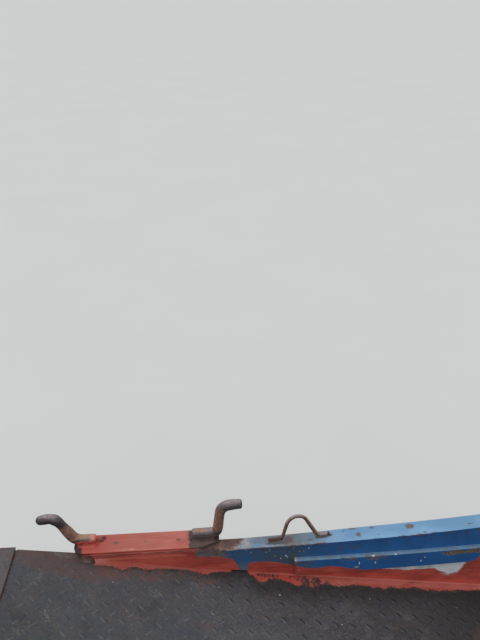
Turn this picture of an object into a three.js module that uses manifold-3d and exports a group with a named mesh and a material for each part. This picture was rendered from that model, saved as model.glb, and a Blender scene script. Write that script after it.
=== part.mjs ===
// The landing bow of a small steel passenger ferry: the raked bow box with its sloping
// foredeck of tread plate, the low bulwarks with their mooring horns and rope hoops,
// and the hinged landing flap.
// Millimetres. X runs aft, Y to starboard, Z up. Stations are X values counted from the
// aft end of the horn base plates. The finished group is shifted so that its origin is
// at the bottom centre of the whole piece.
import * as THREE from "three";
import { mergeVertices } from "three/addons/utils/BufferGeometryUtils.js";
import Module from "manifold-3d";

const wasm = await Module();
wasm.setup();

// Seam left between two pieces that touch.
const GAP = 0.3;

// Hull box
const HALF_BREADTH = 1450; // centreline to the inner edge of the rail cap
const BOW = -560; // station of the nose plate's outer face
const AFT = 1600; // station of the plating's aft edges
const BULKHEAD = 1530; // station of the bulkhead's aft face
const STIFFENER = { depth: 60, thick: 8, stationsY: [-1200, -720, -240, 240, 720, 1200] };
const NOSE_FOOT_Z = 640;
const RAKE_FOOT = 150; // station where the rake meets the flat bottom
const SHELL = 5; // side plating
const SHELL_OUTER = HALF_BREADTH + 38;
const SHELL_INNER = SHELL_OUTER - SHELL;
const FLOOR_PLATE = 6; // rake, bottom and bulkhead plating
const NOSE_PLATE = 8;

// Foredeck, sloping down from the bow
const DECK_PLATE = 6;
const DECK_Z_AT_0 = 733;
const DECK_FALL = 0.163; // drop per unit of length aft
const DECK_ANGLE = Math.atan(DECK_FALL);

// Rail and bulwark
const RAIL_Z = 820; // top of the rail cap where it runs level
const RAIL_START = -340;
const SHEER_START = 100; // from here the cap sweeps up
const SHEER_RADIUS = 7300;
const CAP_WIDTH = { fore: 38, aft: 49 };
const CAP_FLARE = { from: 80, to: 460 }; // stations between which it widens
const CAP_THICK = 8;
const LINING_INNER = HALF_BREADTH + 2; // the cap laps over the lining by this lip
const LINING = 5;
const WALE_START = 250;
const WALE_TOP_AT_START = 765;
const WALE_RADIUS = 12300;
const WALE_HEIGHT = 57;
const WALE_THICK = 12;
const SCUPPER = { fore: 62, aft: 110, height: 7 }; // slot along the deck, through both skins

// Mooring horns and rope hoop
const HORN_PLATE = { fore: -395, aft: 28, inner: 4, outer: 70, thick: 10 };
const HORN_RADIUS = 15;
const HORN_Y = HALF_BREADTH + 43;
const HOOP_RADIUS = 5;
const HOOP_Y = HALF_BREADTH + 26;

// Rubbing strake outside the shell
const STRAKE_RADIUS = 38;
const STRAKE_Z = 640;
const STRAKE_START = -520;

// Landing flap and its hinges
const FLAP_TOP_Z = 830;
const FLAP_AFT = -566;
const FLAP_FORE = -1050;
const FLAP_PLATE = 6;
const FLAP_HALF_WIDTH = SHELL_OUTER + 4;
const HINGE_X = -563;
const HINGE_Z = FLAP_TOP_Z;
const HINGE_STATIONS_Y = [-1000, 0, 1000];
const HINGE_NAMES = ["port", "centre", "starboard"];
const KNUCKLE_RADIUS = 18;
const KNUCKLE_LENGTH = 60;
const KNUCKLE_GAP = 3;
const PIN_RADIUS = 8;
const BORE_RADIUS = 8.6;
const LEAF_THICK = 8;
const LEAF_LENGTH = 130;
const RUNNING_CLEARANCE = 5;
const SET_HALF_WIDTH = 1.5 * KNUCKLE_LENGTH + KNUCKLE_GAP;
const NOTCH_HALF_WIDTH = SET_HALF_WIDTH + 2 * RUNNING_CLEARANCE;
const NOTCH_REACH = KNUCKLE_RADIUS + RUNNING_CLEARANCE;
const RIB_STATIONS_Y = [-1350, -810, -270, 270, 810, 1350];
const RIB_THICK = 8;
const RIB_DEPTH = { fore: 22, aft: 80 };
const STOP_PAD = { halfWidth: 30, foot: 745, head: 790 };
const TOE_RADIUS = 14;
const TOE_DROP = 10; // bar centre below the flap's top
const TOE_X = FLAP_FORE - GAP - Math.sqrt(TOE_RADIUS ** 2 - (TOE_DROP - FLAP_PLATE) ** 2);

const X_SHIFT = -(AFT + TOE_X - TOE_RADIUS) / 2;

const paint = (color, roughness, metalness) =>
  new THREE.MeshStandardMaterial({ color, roughness, metalness });
const MATERIALS = {
  blue: paint(0x1f4f8c, 0.45, 0.1),
  white: paint(0xb9bfbf, 0.6, 0.05),
  red: paint(0x9c3a30, 0.7, 0.05),
  tread: paint(0x4a4747, 0.65, 0.5),
  rust: paint(0x6b4a3a, 0.85, 0.3),
  hull: paint(0x7c2f28, 0.75, 0.05),
};

// Heights along the length
const deckTop = (x) => DECK_Z_AT_0 - DECK_FALL * x;
const deckUnder = (x) => deckTop(x) - DECK_PLATE / Math.cos(DECK_ANGLE);
const railTop = (x) =>
  RAIL_Z + Math.max(0, x - SHEER_START) ** 2 / (2 * SHEER_RADIUS);
const railUnder = (x) => railTop(x) - CAP_THICK;
const waleTop = (x) =>
  WALE_TOP_AT_START + (x - WALE_START) ** 2 / (2 * WALE_RADIUS);

// Points [x, height(x)] along a curved edge, from one station to another.
function along(height, from, to, steps) {
  const points = [];
  for (let i = 0; i <= steps; i += 1) {
    const x = from + ((to - from) * i) / steps;
    points.push([x, height(x)]);
  }
  return points;
}

// The rail's upper or lower edge: one straight run, then the sweep.
const railEdge = (height, from) => [
  [from, height(from)],
  ...along(height, SHEER_START, AFT, 12),
];

function extrude(points, depth) {
  const shape = new THREE.Shape(points.map(([a, b]) => new THREE.Vector2(a, b)));
  return new THREE.ExtrudeGeometry(shape, { depth, bevelEnabled: false });
}

// A side-view outline of [x, z] points, extruded across the ship from y0 to y1.
function acrossShip(points, y0, y1) {
  return extrude(points, y1 - y0).rotateX(Math.PI / 2).translate(0, y1, 0);
}

// A plan outline of [x, y] points, extruded upwards from z0 to z1.
function upwards(points, z0, z1) {
  return extrude(points, z1 - z0).translate(0, 0, z0);
}

// A cross-section of [y, z] points, extruded aft from x0 to x1.
function alongShip(points, x0, x1) {
  const turn = new THREE.Matrix4().set(0, 0, 1, 0, 1, 0, 0, 0, 0, 1, 0, 0, 0, 0, 0, 1);
  return extrude(points, x1 - x0).applyMatrix4(turn).translate(x0, 0, 0);
}

function cylinderAcross(radius, y0, y1, x, z, sides = 24) {
  return new THREE.CylinderGeometry(radius, radius, y1 - y0, sides)
    .translate(x, (y0 + y1) / 2, z);
}

function toSolid(geometry) {
  const bare = geometry.index ? geometry.toNonIndexed() : geometry.clone();
  bare.deleteAttribute("normal");
  bare.deleteAttribute("uv");
  const merged = mergeVertices(bare, 1e-4);
  return new wasm.Manifold(
    new wasm.Mesh({
      numProp: 3,
      vertProperties: merged.attributes.position.array,
      triVerts: new Uint32Array(merged.index.array),
    }),
  );
}

function toGeometry(solid) {
  const { vertProperties, triVerts } = solid.getMesh();
  const geometry = new THREE.BufferGeometry();
  geometry.setAttribute("position", new THREE.BufferAttribute(vertProperties, 3));
  geometry.setIndex(new THREE.BufferAttribute(triVerts, 1));
  geometry.computeVertexNormals();
  return geometry;
}

const joined = (geometries) =>
  geometries.map(toSolid).reduce((whole, next) => whole.add(next));

function mesh(name, geometry, material) {
  const made = new THREE.Mesh(geometry, material);
  made.name = name;
  return made;
}

// A round bar bent along straight runs, in the plane y. Each corner is [x, z, bend],
// where bend is how far from the corner its curve starts.
function bentBar(corners, y, radius, sides, steps) {
  const points = [];
  corners.forEach(([x, z, bend], i) => {
    const here = new THREE.Vector3(x, y, z);
    if (!bend) {
      points.push(here);
      return;
    }
    const toward = ([nx, nz]) =>
      new THREE.Vector3(nx, y, nz).sub(here).setLength(bend).add(here);
    const curve = new THREE.QuadraticBezierCurve3(
      toward(corners[i - 1]),
      here,
      toward(corners[i + 1]),
    );
    points.push(...curve.getPoints(4));
  });
  const section = [];
  for (let i = 0; i < sides; i += 1) {
    const turn = (2 * Math.PI * i) / sides;
    section.push(new THREE.Vector2(radius * Math.cos(turn), radius * Math.sin(turn)));
  }
  return new THREE.ExtrudeGeometry(new THREE.Shape(section), {
    steps,
    bevelEnabled: false,
    extrudePath: new THREE.CatmullRomCurve3(points, false, "centripetal"),
  });
}

// Bow box: nose, rake, bottom and bulkhead, between the side plates.
function bowBox() {
  const half = SHELL_INNER - GAP;
  const noseTop = deckUnder(BOW + NOSE_PLATE) - GAP;
  const noseCut = HINGE_Z - NOTCH_REACH - 2;
  const outline = [
    [-half, NOSE_FOOT_Z + GAP],
    [half, NOSE_FOOT_Z + GAP],
    [half, noseTop],
  ];
  for (const y of [...HINGE_STATIONS_Y].reverse()) {
    outline.push([y + NOTCH_HALF_WIDTH, noseTop], [y + NOTCH_HALF_WIDTH, noseCut]);
    outline.push([y - NOTCH_HALF_WIDTH, noseCut], [y - NOTCH_HALF_WIDTH, noseTop]);
  }
  outline.push([-half, noseTop]);
  const { halfWidth, foot, head } = STOP_PAD;
  const stopPads = RIB_STATIONS_Y.map((y) =>
    alongShip(
      [
        [y - halfWidth, foot],
        [y + halfWidth, foot],
        [y + halfWidth, head],
        [y - halfWidth, head],
      ],
      FLAP_AFT + GAP,
      BOW + 1,
    ),
  );
  const nose = joined([alongShip(outline, BOW, BOW + NOSE_PLATE), ...stopPads]);

  const fall = Math.atan2(NOSE_FOOT_Z, RAKE_FOOT - BOW);
  const inward = [Math.sin(fall) * FLOOR_PLATE, Math.cos(fall) * FLOOR_PLATE];
  const rake = [
    [BOW, NOSE_FOOT_Z],
    [RAKE_FOOT - GAP, 0],
    [RAKE_FOOT - GAP, FLOOR_PLATE],
    [BOW + inward[0], NOSE_FOOT_Z + inward[1] - FLOOR_PLATE],
  ];
  const underDeck = (x) => deckUnder(x) - GAP;
  const upright = (fore, aft) => [
    [fore, FLOOR_PLATE + GAP],
    [aft, FLOOR_PLATE + GAP],
    [aft, underDeck(aft)],
    [fore, underDeck(fore)],
  ];
  const bulkhead = upright(BULKHEAD - FLOOR_PLATE, BULKHEAD);
  const stiffener = upright(BULKHEAD + GAP, BULKHEAD + GAP + STIFFENER.depth);
  const bottom = [[RAKE_FOOT, 0], [AFT, 0], [AFT, FLOOR_PLATE], [RAKE_FOOT, FLOOR_PLATE]];
  return [
    mesh("nose_plate", toGeometry(nose), MATERIALS.blue),
    mesh("rake_plate", acrossShip(rake, -half, half), MATERIALS.hull),
    mesh("bottom_plate", acrossShip(bottom, -half, half), MATERIALS.hull),
    mesh("aft_bulkhead", acrossShip(bulkhead, -half, half), MATERIALS.hull),
    ...STIFFENER.stationsY.map((y, i) =>
      mesh(
        `bulkhead_stiffener_${i + 1}`,
        acrossShip(stiffener, y - STIFFENER.thick / 2, y + STIFFENER.thick / 2),
        MATERIALS.hull,
      ),
    ),
  ];
}

// Foredeck: one sheet each side of the centreline, laid on the slope and notched
// where the flap's hinges stand.
function deckPlate(name, side) {
  const length = (AFT - BOW) / Math.cos(DECK_ANGLE);
  const step = (RAIL_START - SHELL - BOW) / Math.cos(DECK_ANGLE);
  const notch = (HINGE_X + NOTCH_REACH - BOW) / Math.cos(DECK_ANGLE);
  const outer = HINGE_STATIONS_Y[2];
  const outline = [
    [notch, GAP],
    [notch, NOTCH_HALF_WIDTH],
    [0, NOTCH_HALF_WIDTH],
    [0, outer - NOTCH_HALF_WIDTH],
    [notch, outer - NOTCH_HALF_WIDTH],
    [notch, outer + NOTCH_HALF_WIDTH],
    [0, outer + NOTCH_HALF_WIDTH],
    [0, SHELL_OUTER],
    [step, SHELL_OUTER],
    [step, SHELL_INNER - GAP],
    [length, SHELL_INNER - GAP],
    [length, GAP],
  ].map(([x, y]) => [x, side * y]);
  const sheet = mesh(name, upwards(outline, -DECK_PLATE, 0), MATERIALS.tread);
  sheet.position.set(BOW, 0, deckTop(BOW));
  sheet.rotation.y = DECK_ANGLE;
  return sheet;
}

// The scupper's slot, cut through the lining's foot and the shell behind it.
function scupperCutter() {
  const { fore, aft, height } = SCUPPER;
  const outline = [
    [fore, deckTop(fore)],
    [aft, deckTop(aft)],
    [aft, deckTop(aft) + height],
    [fore, deckTop(fore) + height],
  ];
  return toSolid(acrossShip(outline, LINING_INNER - 1, SHELL_OUTER + 1));
}

// Side plating, from the bottom up to the rail cap.
function shellPlate() {
  const openTop = (x) => deckUnder(x) - GAP;
  const outline = [
    [RAKE_FOOT, 0],
    [AFT, 0],
    ...railEdge((x) => railUnder(x) - GAP, RAIL_START + SHELL + GAP).reverse(),
    [RAIL_START + SHELL + GAP, openTop(RAIL_START + SHELL + GAP)],
    [BOW, openTop(BOW)],
    [BOW, NOSE_FOOT_Z],
  ];
  return toGeometry(
    toSolid(acrossShip(outline, SHELL_INNER, SHELL_OUTER)).subtract(scupperCutter()),
  );
}

function liningPlate() {
  const foot = (x) => deckTop(x) + GAP;
  const start = RAIL_START + SHELL + GAP;
  const outline = [
    [start, foot(start)],
    [AFT, foot(AFT)],
    ...railEdge((x) => railUnder(x) - GAP, start).reverse(),
  ];
  return toGeometry(
    toSolid(acrossShip(outline, LINING_INNER, LINING_INNER + LINING)).subtract(
      scupperCutter(),
    ),
  );
}

function railCap() {
  const outline = [
    ...railEdge(railUnder, RAIL_START),
    ...railEdge(railTop, RAIL_START).reverse(),
  ];
  const plan = [
    [RAIL_START - 1, 0],
    [AFT + 1, 0],
    [AFT + 1, CAP_WIDTH.aft],
    [CAP_FLARE.to, CAP_WIDTH.aft],
    [CAP_FLARE.from, CAP_WIDTH.fore],
    [RAIL_START - 1, CAP_WIDTH.fore],
  ].map(([x, y]) => [x, HALF_BREADTH + y]);
  const bar = acrossShip(outline, HALF_BREADTH, HALF_BREADTH + CAP_WIDTH.aft + 1);
  return toGeometry(toSolid(bar).intersect(toSolid(upwards(plan, 0, 2 * RAIL_Z))));
}

// Flat bar along the bulwark's inside, below the cap.
function waleBar() {
  const outline = [
    ...along((x) => waleTop(x) - WALE_HEIGHT, WALE_START, AFT, 10),
    ...along(waleTop, WALE_START, AFT, 10).reverse(),
  ];
  const outer = LINING_INNER - GAP;
  return acrossShip(outline, outer - WALE_THICK, outer);
}

// Closes the bulwark's hollow at one of its ends.
function bulwarkEnd(fore, inner, outer) {
  const aft = fore + SHELL;
  const outline = [
    [fore, deckTop(fore) + GAP],
    [aft, deckTop(aft) + GAP],
    [aft, railUnder(aft) - GAP],
    [fore, railUnder(fore) - GAP],
  ];
  return acrossShip(outline, inner, outer);
}

// Base plate of the horns, with its two inner corners cut back.
function hornPlate() {
  const { fore, aft, inner, outer, thick } = HORN_PLATE;
  const outline = [
    [fore + 22, inner],
    [aft - 48, inner],
    [aft - 34, inner + 9],
    [aft, inner + 22],
    [aft, outer],
    [fore, outer],
    [fore, inner + 22],
    [fore + 7, inner + 7],
  ].map(([x, y]) => [x, HALF_BREADTH + y]);
  return upwards(outline, RAIL_Z + GAP, RAIL_Z + GAP + thick);
}

// Each horn is a bar bent twice: foot on the plate, riser, and a tip that points away.
const HORN_FOOT_Z = RAIL_Z + HORN_PLATE.thick + HORN_RADIUS + 2 * GAP;
const AFT_HORN = [
  [-52, HORN_FOOT_Z, 0],
  [21, HORN_FOOT_Z, 20],
  [35, RAIL_Z + 138, 24],
  [97, RAIL_Z + 134, 0],
];
const FORE_HORN = [
  [-332, HORN_FOOT_Z, 0],
  [-391, HORN_FOOT_Z, 20],
  [-432, RAIL_Z + 116, 20],
  [-490, RAIL_Z + 107, 0],
];

const horn = (corners) => bentBar(corners, HORN_Y, HORN_RADIUS, 12, 26);

const HOOP_FOOT = HOOP_RADIUS + 2 * GAP;
const HOOP = [
  [172, railTop(172) + HOOP_FOOT, 0],
  [212, railTop(212) + HOOP_FOOT, 10],
  [228, RAIL_Z + 86, 24],
  [270, RAIL_Z + 100, 24],
  [317, railTop(317) + HOOP_FOOT, 14],
  [358, railTop(358) + HOOP_FOOT, 0],
];

function rubbingStrake() {
  const steps = 10;
  const section = [];
  for (let i = 0; i <= steps; i += 1) {
    const turn = -Math.PI / 2 + (Math.PI * i) / steps;
    section.push([
      SHELL_OUTER + GAP + STRAKE_RADIUS * Math.cos(turn),
      STRAKE_Z + STRAKE_RADIUS * Math.sin(turn),
    ]);
  }
  return alongShip(section, STRAKE_START, AFT);
}

// Everything that stands on one side of the ship, drawn on the starboard side.
function sideParts(name) {
  const parts = new THREE.Group();
  parts.add(
    mesh(`shell_plate_${name}`, shellPlate(), MATERIALS.hull),
    mesh(`bulwark_lining_${name}`, liningPlate(), MATERIALS.white),
    mesh(
      `bulwark_fore_end_${name}`,
      bulwarkEnd(RAIL_START, LINING_INNER, SHELL_OUTER),
      MATERIALS.rust,
    ),
    mesh(
      `bulwark_aft_end_${name}`,
      bulwarkEnd(AFT - SHELL, LINING_INNER + LINING + GAP, SHELL_INNER - GAP),
      MATERIALS.hull,
    ),
    mesh(`rail_cap_${name}`, railCap(), MATERIALS.blue),
    mesh(`wale_bar_${name}`, waleBar(), MATERIALS.blue),
    mesh(`rubbing_strake_${name}`, rubbingStrake(), MATERIALS.blue),
    mesh(`horn_plate_${name}`, hornPlate(), MATERIALS.red),
    mesh(`fore_horn_${name}`, horn(FORE_HORN), MATERIALS.rust),
    mesh(`aft_horn_${name}`, horn(AFT_HORN), MATERIALS.rust),
    mesh(`rope_hoop_${name}`, bentBar(HOOP, HOOP_Y, HOOP_RADIUS, 8, 40), MATERIALS.rust),
  );
  return parts;
}

// Landing flap: a tread plate with a toe bar and ribs, level at rest.
function flapParts() {
  const notchX = HINGE_X - NOTCH_REACH;
  const outline = [
    [FLAP_FORE, FLAP_HALF_WIDTH],
    [FLAP_FORE, -FLAP_HALF_WIDTH],
    [FLAP_AFT, -FLAP_HALF_WIDTH],
  ];
  for (const y of HINGE_STATIONS_Y) {
    outline.push([FLAP_AFT, y - NOTCH_HALF_WIDTH], [notchX, y - NOTCH_HALF_WIDTH]);
    outline.push([notchX, y + NOTCH_HALF_WIDTH], [FLAP_AFT, y + NOTCH_HALF_WIDTH]);
  }
  outline.push([FLAP_AFT, FLAP_HALF_WIDTH]);
  const under = FLAP_TOP_Z - FLAP_PLATE;
  const toe = cylinderAcross(
    TOE_RADIUS,
    -FLAP_HALF_WIDTH,
    FLAP_HALF_WIDTH,
    TOE_X,
    FLAP_TOP_Z - TOE_DROP,
    16,
  );
  const rib = [
    [FLAP_AFT, under - GAP],
    [FLAP_FORE + 10, under - GAP],
    [FLAP_FORE + 10, under - RIB_DEPTH.fore],
    [FLAP_AFT, under - RIB_DEPTH.aft],
  ];
  return [
    mesh("flap_plate", upwards(outline, under, FLAP_TOP_Z), MATERIALS.tread),
    mesh("flap_toe_bar", toe, MATERIALS.rust),
    ...RIB_STATIONS_Y.map((y, i) =>
      mesh(
        `flap_rib_${i + 1}`,
        acrossShip(rib, y - RIB_THICK / 2, y + RIB_THICK / 2),
        MATERIALS.hull,
      ),
    ),
  ];
}

// One hinge: a deck strap with two knuckles, a flap strap with one between, and the pin.
function hinge(name, y) {
  const pitch = KNUCKLE_LENGTH + KNUCKLE_GAP;
  const knuckle = (centre) =>
    cylinderAcross(
      KNUCKLE_RADIUS,
      centre - KNUCKLE_LENGTH / 2,
      centre + KNUCKLE_LENGTH / 2,
      HINGE_X,
      HINGE_Z,
    );
  const bore = toSolid(
    cylinderAcross(BORE_RADIUS, y - 2 * pitch, y + 2 * pitch, HINGE_X, HINGE_Z),
  );
  const tab = (from, to, centre, half) => [
    [from, centre - half], [to, centre - half], [to, centre + half], [from, centre + half],
  ];

  // The deck strap's leaves lie on the slope: they are drawn level, then turned.
  const turn = new THREE.Matrix4()
    .makeTranslation(BOW, 0, deckTop(BOW))
    .multiply(new THREE.Matrix4().makeRotationY(DECK_ANGLE));
  const onDeck = (points) =>
    upwards(points, GAP, GAP + LEAF_THICK).applyMatrix4(turn);
  const clearOfFlap = NOTCH_REACH + 5;
  const deckStrap = joined([
    onDeck(tab(HINGE_X - BOW, clearOfFlap + 5, y - pitch, KNUCKLE_LENGTH / 2)),
    onDeck(tab(HINGE_X - BOW, clearOfFlap + 5, y + pitch, KNUCKLE_LENGTH / 2)),
    onDeck(tab(clearOfFlap, LEAF_LENGTH, y, SET_HALF_WIDTH)),
    knuckle(y - pitch),
    knuckle(y + pitch),
  ]).subtract(bore);

  const flapLeaf = tab(HINGE_X - LEAF_LENGTH, HINGE_X, y, KNUCKLE_LENGTH / 2);
  const flapStrap = joined([
    upwards(flapLeaf, FLAP_TOP_Z + GAP, FLAP_TOP_Z + GAP + LEAF_THICK),
    knuckle(y),
  ]).subtract(bore);

  const end = SET_HALF_WIDTH + GAP;
  const head = KNUCKLE_RADIUS - 4;
  const pin = new THREE.LatheGeometry(
    [
      [0, -end - 6], [head, -end - 6], [head, -end], [PIN_RADIUS, -end],
      [PIN_RADIUS, end], [head, end], [head, end + 6], [0, end + 6],
    ].map(([r, h]) => new THREE.Vector2(r, h)),
    24,
  ).translate(HINGE_X, y, HINGE_Z);
  return [
    mesh(`hinge_deck_strap_${name}`, toGeometry(deckStrap), MATERIALS.rust),
    mesh(`hinge_flap_strap_${name}`, toGeometry(flapStrap), MATERIALS.rust),
    mesh(`hinge_pin_${name}`, pin, MATERIALS.rust),
  ];
}

const ferryBow = new THREE.Group();
ferryBow.add(...bowBox());
ferryBow.add(deckPlate("deck_plate_starboard", 1), deckPlate("deck_plate_port", -1));

const portSide = sideParts("port");
portSide.scale.y = -1;
ferryBow.add(sideParts("starboard"), portSide);

ferryBow.add(...flapParts());
HINGE_STATIONS_Y.forEach((y, i) => ferryBow.add(...hinge(HINGE_NAMES[i], y)));
ferryBow.position.x = X_SHIFT;

export default ferryBow;
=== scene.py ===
# The looks of the landing bow of a small steel passenger ferry: paint, rust, dirt, raised
# tread, weld beads and smooth bars around the frame's solids.
# Sizes here are in millimetres and become metres in at(). X runs aft, Y to starboard, Z up.
# A station is an X value, counted from 28 mm forward of the horn plates' aft ends.
import math
import random

import bpy
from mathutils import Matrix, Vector, noise


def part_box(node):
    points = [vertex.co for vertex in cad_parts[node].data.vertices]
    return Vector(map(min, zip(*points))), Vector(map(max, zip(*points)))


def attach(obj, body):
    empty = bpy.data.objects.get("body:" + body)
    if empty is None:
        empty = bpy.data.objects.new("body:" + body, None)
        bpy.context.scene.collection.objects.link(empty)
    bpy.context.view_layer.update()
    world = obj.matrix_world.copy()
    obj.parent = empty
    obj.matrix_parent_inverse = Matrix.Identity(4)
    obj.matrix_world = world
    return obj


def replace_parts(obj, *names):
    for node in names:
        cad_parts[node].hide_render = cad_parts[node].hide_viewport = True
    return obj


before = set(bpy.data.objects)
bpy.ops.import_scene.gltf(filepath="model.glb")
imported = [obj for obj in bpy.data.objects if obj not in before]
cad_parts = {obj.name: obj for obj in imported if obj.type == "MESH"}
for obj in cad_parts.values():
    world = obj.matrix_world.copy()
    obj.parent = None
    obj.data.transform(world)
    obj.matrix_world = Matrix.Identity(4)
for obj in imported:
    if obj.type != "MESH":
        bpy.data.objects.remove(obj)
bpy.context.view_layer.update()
random.seed(7)

MM = 0.001
SIDES = {"starboard": 1, "port": -1}
HORN_PLATE_AFT = 28
STATION_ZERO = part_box("horn_plate_starboard")[1].x - HORN_PLATE_AFT * MM

# Sizes of the frame's solids
BOW = -560
AFT = 1600
BULKHEAD = 1530
NOSE_FOOT_Z = 640
RAKE_FOOT = 150
HALF_BREADTH = 1450
LINING_FACE = 1452
SHELL_OUTER = 1488
SHELL_INNER = 1483
DECK_Z_AT_0 = 733
DECK_FALL = 0.163
DECK_ANGLE = math.atan(DECK_FALL)
DECK_THICK = 8
RAIL_Z = 820
RAIL_START = -340
SHEER_START = 100
SHEER_RADIUS = 7300
CAP_THICK = 8
WALE_START = 250
WALE_TOP_AT_START = 765
WALE_RADIUS = 12300
WALE_HEIGHT = 57
SCUPPER_FORE = 62
SCUPPER_AFT = 110
HORN_PLATE_TOP = 830.3
HORN_Y = 1493
HORN_RADIUS = 15
HORN_FOOT_Z = HORN_PLATE_TOP + HORN_RADIUS + 0.3
HOOP_Y = 1476
HOOP_X = 262
HOOP_RADIUS = 5
HOOP_FOOT = HOOP_RADIUS + 0.6
STRAKE_Z = 640
STRAKE_RADIUS = 38
STRAKE_START = -520
FLAP_TOP = 830
FLAP_PLATE = 6
FLAP_FORE = -1050
FLAP_AFT = -566
FLAP_HALF_WIDTH = 1492
HINGE_X = -563
HINGE_STATIONS_Y = (-1000, 0, 1000)
HINGE_NOTCH_HALF_WIDTH = 103
HINGE_NOTCH_REACH = 23
LEAF_LENGTH = 130
STRAP_HALF_WIDTH = 93
FLAP_LEAF_HALF_WIDTH = 30
RIB_STATIONS_Y = (-1350, -810, -270, 270, 810, 1350)
RIB_HALF_THICK = 4
STIFFENER_STATIONS_Y = (-1200, -720, -240, 240, 720, 1200)
STIFFENER_HALF_THICK = 4

# Raised bars of the tread plates
BAR_LENGTH = 31
BAR_WIDTH = 8.4
BAR_HEIGHT = 1.8
BAR_SUNK = 0.4
BAR_TURN = math.radians(42)
BAR_PITCH = 49
BAR_ROW = 24
ROW_DRIFT = 0.049
BAR_SECTIONS = ((-0.6, 0.74), (0.0, 1.0), (0.6, 0.74))
BAR_TOP = ((-0.55, 0.72), (0.0, 1.0), (0.55, 0.72))
# A low skirt along one side of each bar: its top, and its width on the wide and narrow sides
SKIRT_TOP = 0.16
SKIRT_WIDE = 5.0
SKIRT_NARROW = 1.5
BARE_MARGIN = 14

# Weld metal. A fillet's section is (distance from the bar's centre line, height)
FILLET_SECTION = ((2, 831.6), (21, 829.9), (17.6, 832.2), (14.8, 835.4), (13.2, 840), (7, 840))
FILLET_ROOT = 8
FILLET_FOOT_Z = 830
WELD_SMOOTH = 60
SHELL_SEAM = 840
SHELL_KNUCKLE_Y = 1484
CAP_WELD_FORE = 140
PLATE_WELD_Y = 1454.5
PLATE_WELD_Z = 820.6
HORN_END_WELD_Z = 831
WALE_TOP_WELD_Y = 1451.3
WALE_FOOT_WELD_Y = 1451

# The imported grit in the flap's seam
GRIT_LOW = 816
GRIT_TOP = 822.4
GRIT_REACH = 8.0
GRIT_REACH_AT_RIBS = 5.2
GRIT_GAP = 2

# Centre lines of the bars, as (station, height, bend). The forms give a bar's swelling, as
# (distance from its tip, share of its radius)
AFT_HORN = (
    (-54, HORN_FOOT_Z, 0), (23, HORN_FOOT_Z, 20), (34.5, RAIL_Z + 132, 31), (97, RAIL_Z + 136, 0),
)
AFT_HORN_FORM = (
    (0, 0.92), (14, 0.98), (40, 1.04), (60, 1.07), (84, 1.0), (150, 1.05), (215, 1.0), (232, 0.86),
)
FORE_HORN = (
    (-330, HORN_FOOT_Z, 0), (-391, HORN_FOOT_Z, 20), (-440, RAIL_Z + 118, 25), (-493, RAIL_Z + 108, 0),
)
FORE_HORN_FORM = (
    (0, 0.9), (14, 0.97), (28, 0.95), (42, 1.06), (56, 0.96), (68, 0.9), (88, 1.0), (108, 1.09),
    (130, 1.05), (150, 1.0), (190, 0.98), (204, 0.86),
)
HOOP_FORM = (
    (0, 1.05), (30, 1.1), (45, 1.26), (90, 1.22), (120, 1.06), (165, 1.06), (200, 1.14), (237, 1.04),
    (278, 1.0),
)
HOOP_LEAN = 0.05

# Where the red primer ends: (station, height) up the bulwark lining and the wale's face,
# and (station, distance from the centre plane) in over the deck
LINING_RED_EDGE = (
    (-340, 830), (-54, 830), (-40, 792), (0, 792), (26, 790), (44, 780), (64, 779), (76, 758),
    (88, 722), (90, 700), (106, 700), (109, 729), (113, 750), (124, 757), (147, 758), (180, 753),
    (208, 749), (232, 740), (285, 718), (337, 721), (393, 716), (488, 704), (525, 696),
    (566, 689), (598, 683), (640, 685), (690, 685), (711, 669), (735, 658), (752, 657), (769, 664),
    (778, 686), (790, 706), (805, 711), (860, 716), (930, 702), (1010, 709), (1090, 694),
    (1200, 690), (1290, 668), (1380, 676), (1480, 655), (1600, 650),
)
WALE_RED_EDGE = (
    (250, 747), (266, 741), (282, 733), (320, 732), (357, 735), (389, 731), (414, 722),
    (451, 714), (490, 700), (745, 700), (765, 706), (777, 714), (792, 720), (812, 728),
    (819, 745), (850, 750), (905, 733),
    (960, 712), (1020, 700), (1600, 700),
)
DECK_RED_EDGE = (
    (-350, 1495), (-342, 1485), (-334, 1449), (-287, 1447), (-263, 1439), (-230, 1449), (-189, 1442),
    (-164, 1447), (-135, 1452), (-115, 1458), (-72, 1460), (-59, 1447), (-21, 1436),
    (9, 1446), (30, 1451), (62, 1450), (66, 1470), (108, 1470), (113, 1446), (123, 1442),
    (137, 1425), (151, 1418), (167, 1427), (183, 1434), (222, 1431), (256, 1411), (272, 1419),
    (313, 1408), (334, 1423), (390, 1420), (420, 1424), (480, 1425), (504, 1418), (564, 1424),
    (620, 1429), (691, 1419), (777, 1429), (844, 1431), (940, 1420), (1030, 1432),
    (1120, 1417), (1240, 1428), (1330, 1415), (1420, 1430), (1600, 1421),
)

# Marks, as (station, distance from the centre plane, half length, half width)
DECK_RED_DOTS = (
    (142, 1446, 4.5, 7), (153, 1446, 4.5, 6), (163, 1445, 4.5, 8), (174, 1445, 4.5, 6),
    (187, 1445, 5, 8), (200, 1444, 4, 5), (240, 1442, 4, 4), (262, 1436, 4, 5),
)
DECK_RED_BITES = ((284, 1424, 14, 20), (318, 1426, 16, 20), (352, 1420, 12, 12))
DECK_RUST_MARKS = ((-330, 1440, 110, 50), (-420, 1462, 130, 52))
DECK_CORNER_WORN = ((-420, 1484, 36, 17),)
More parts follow.
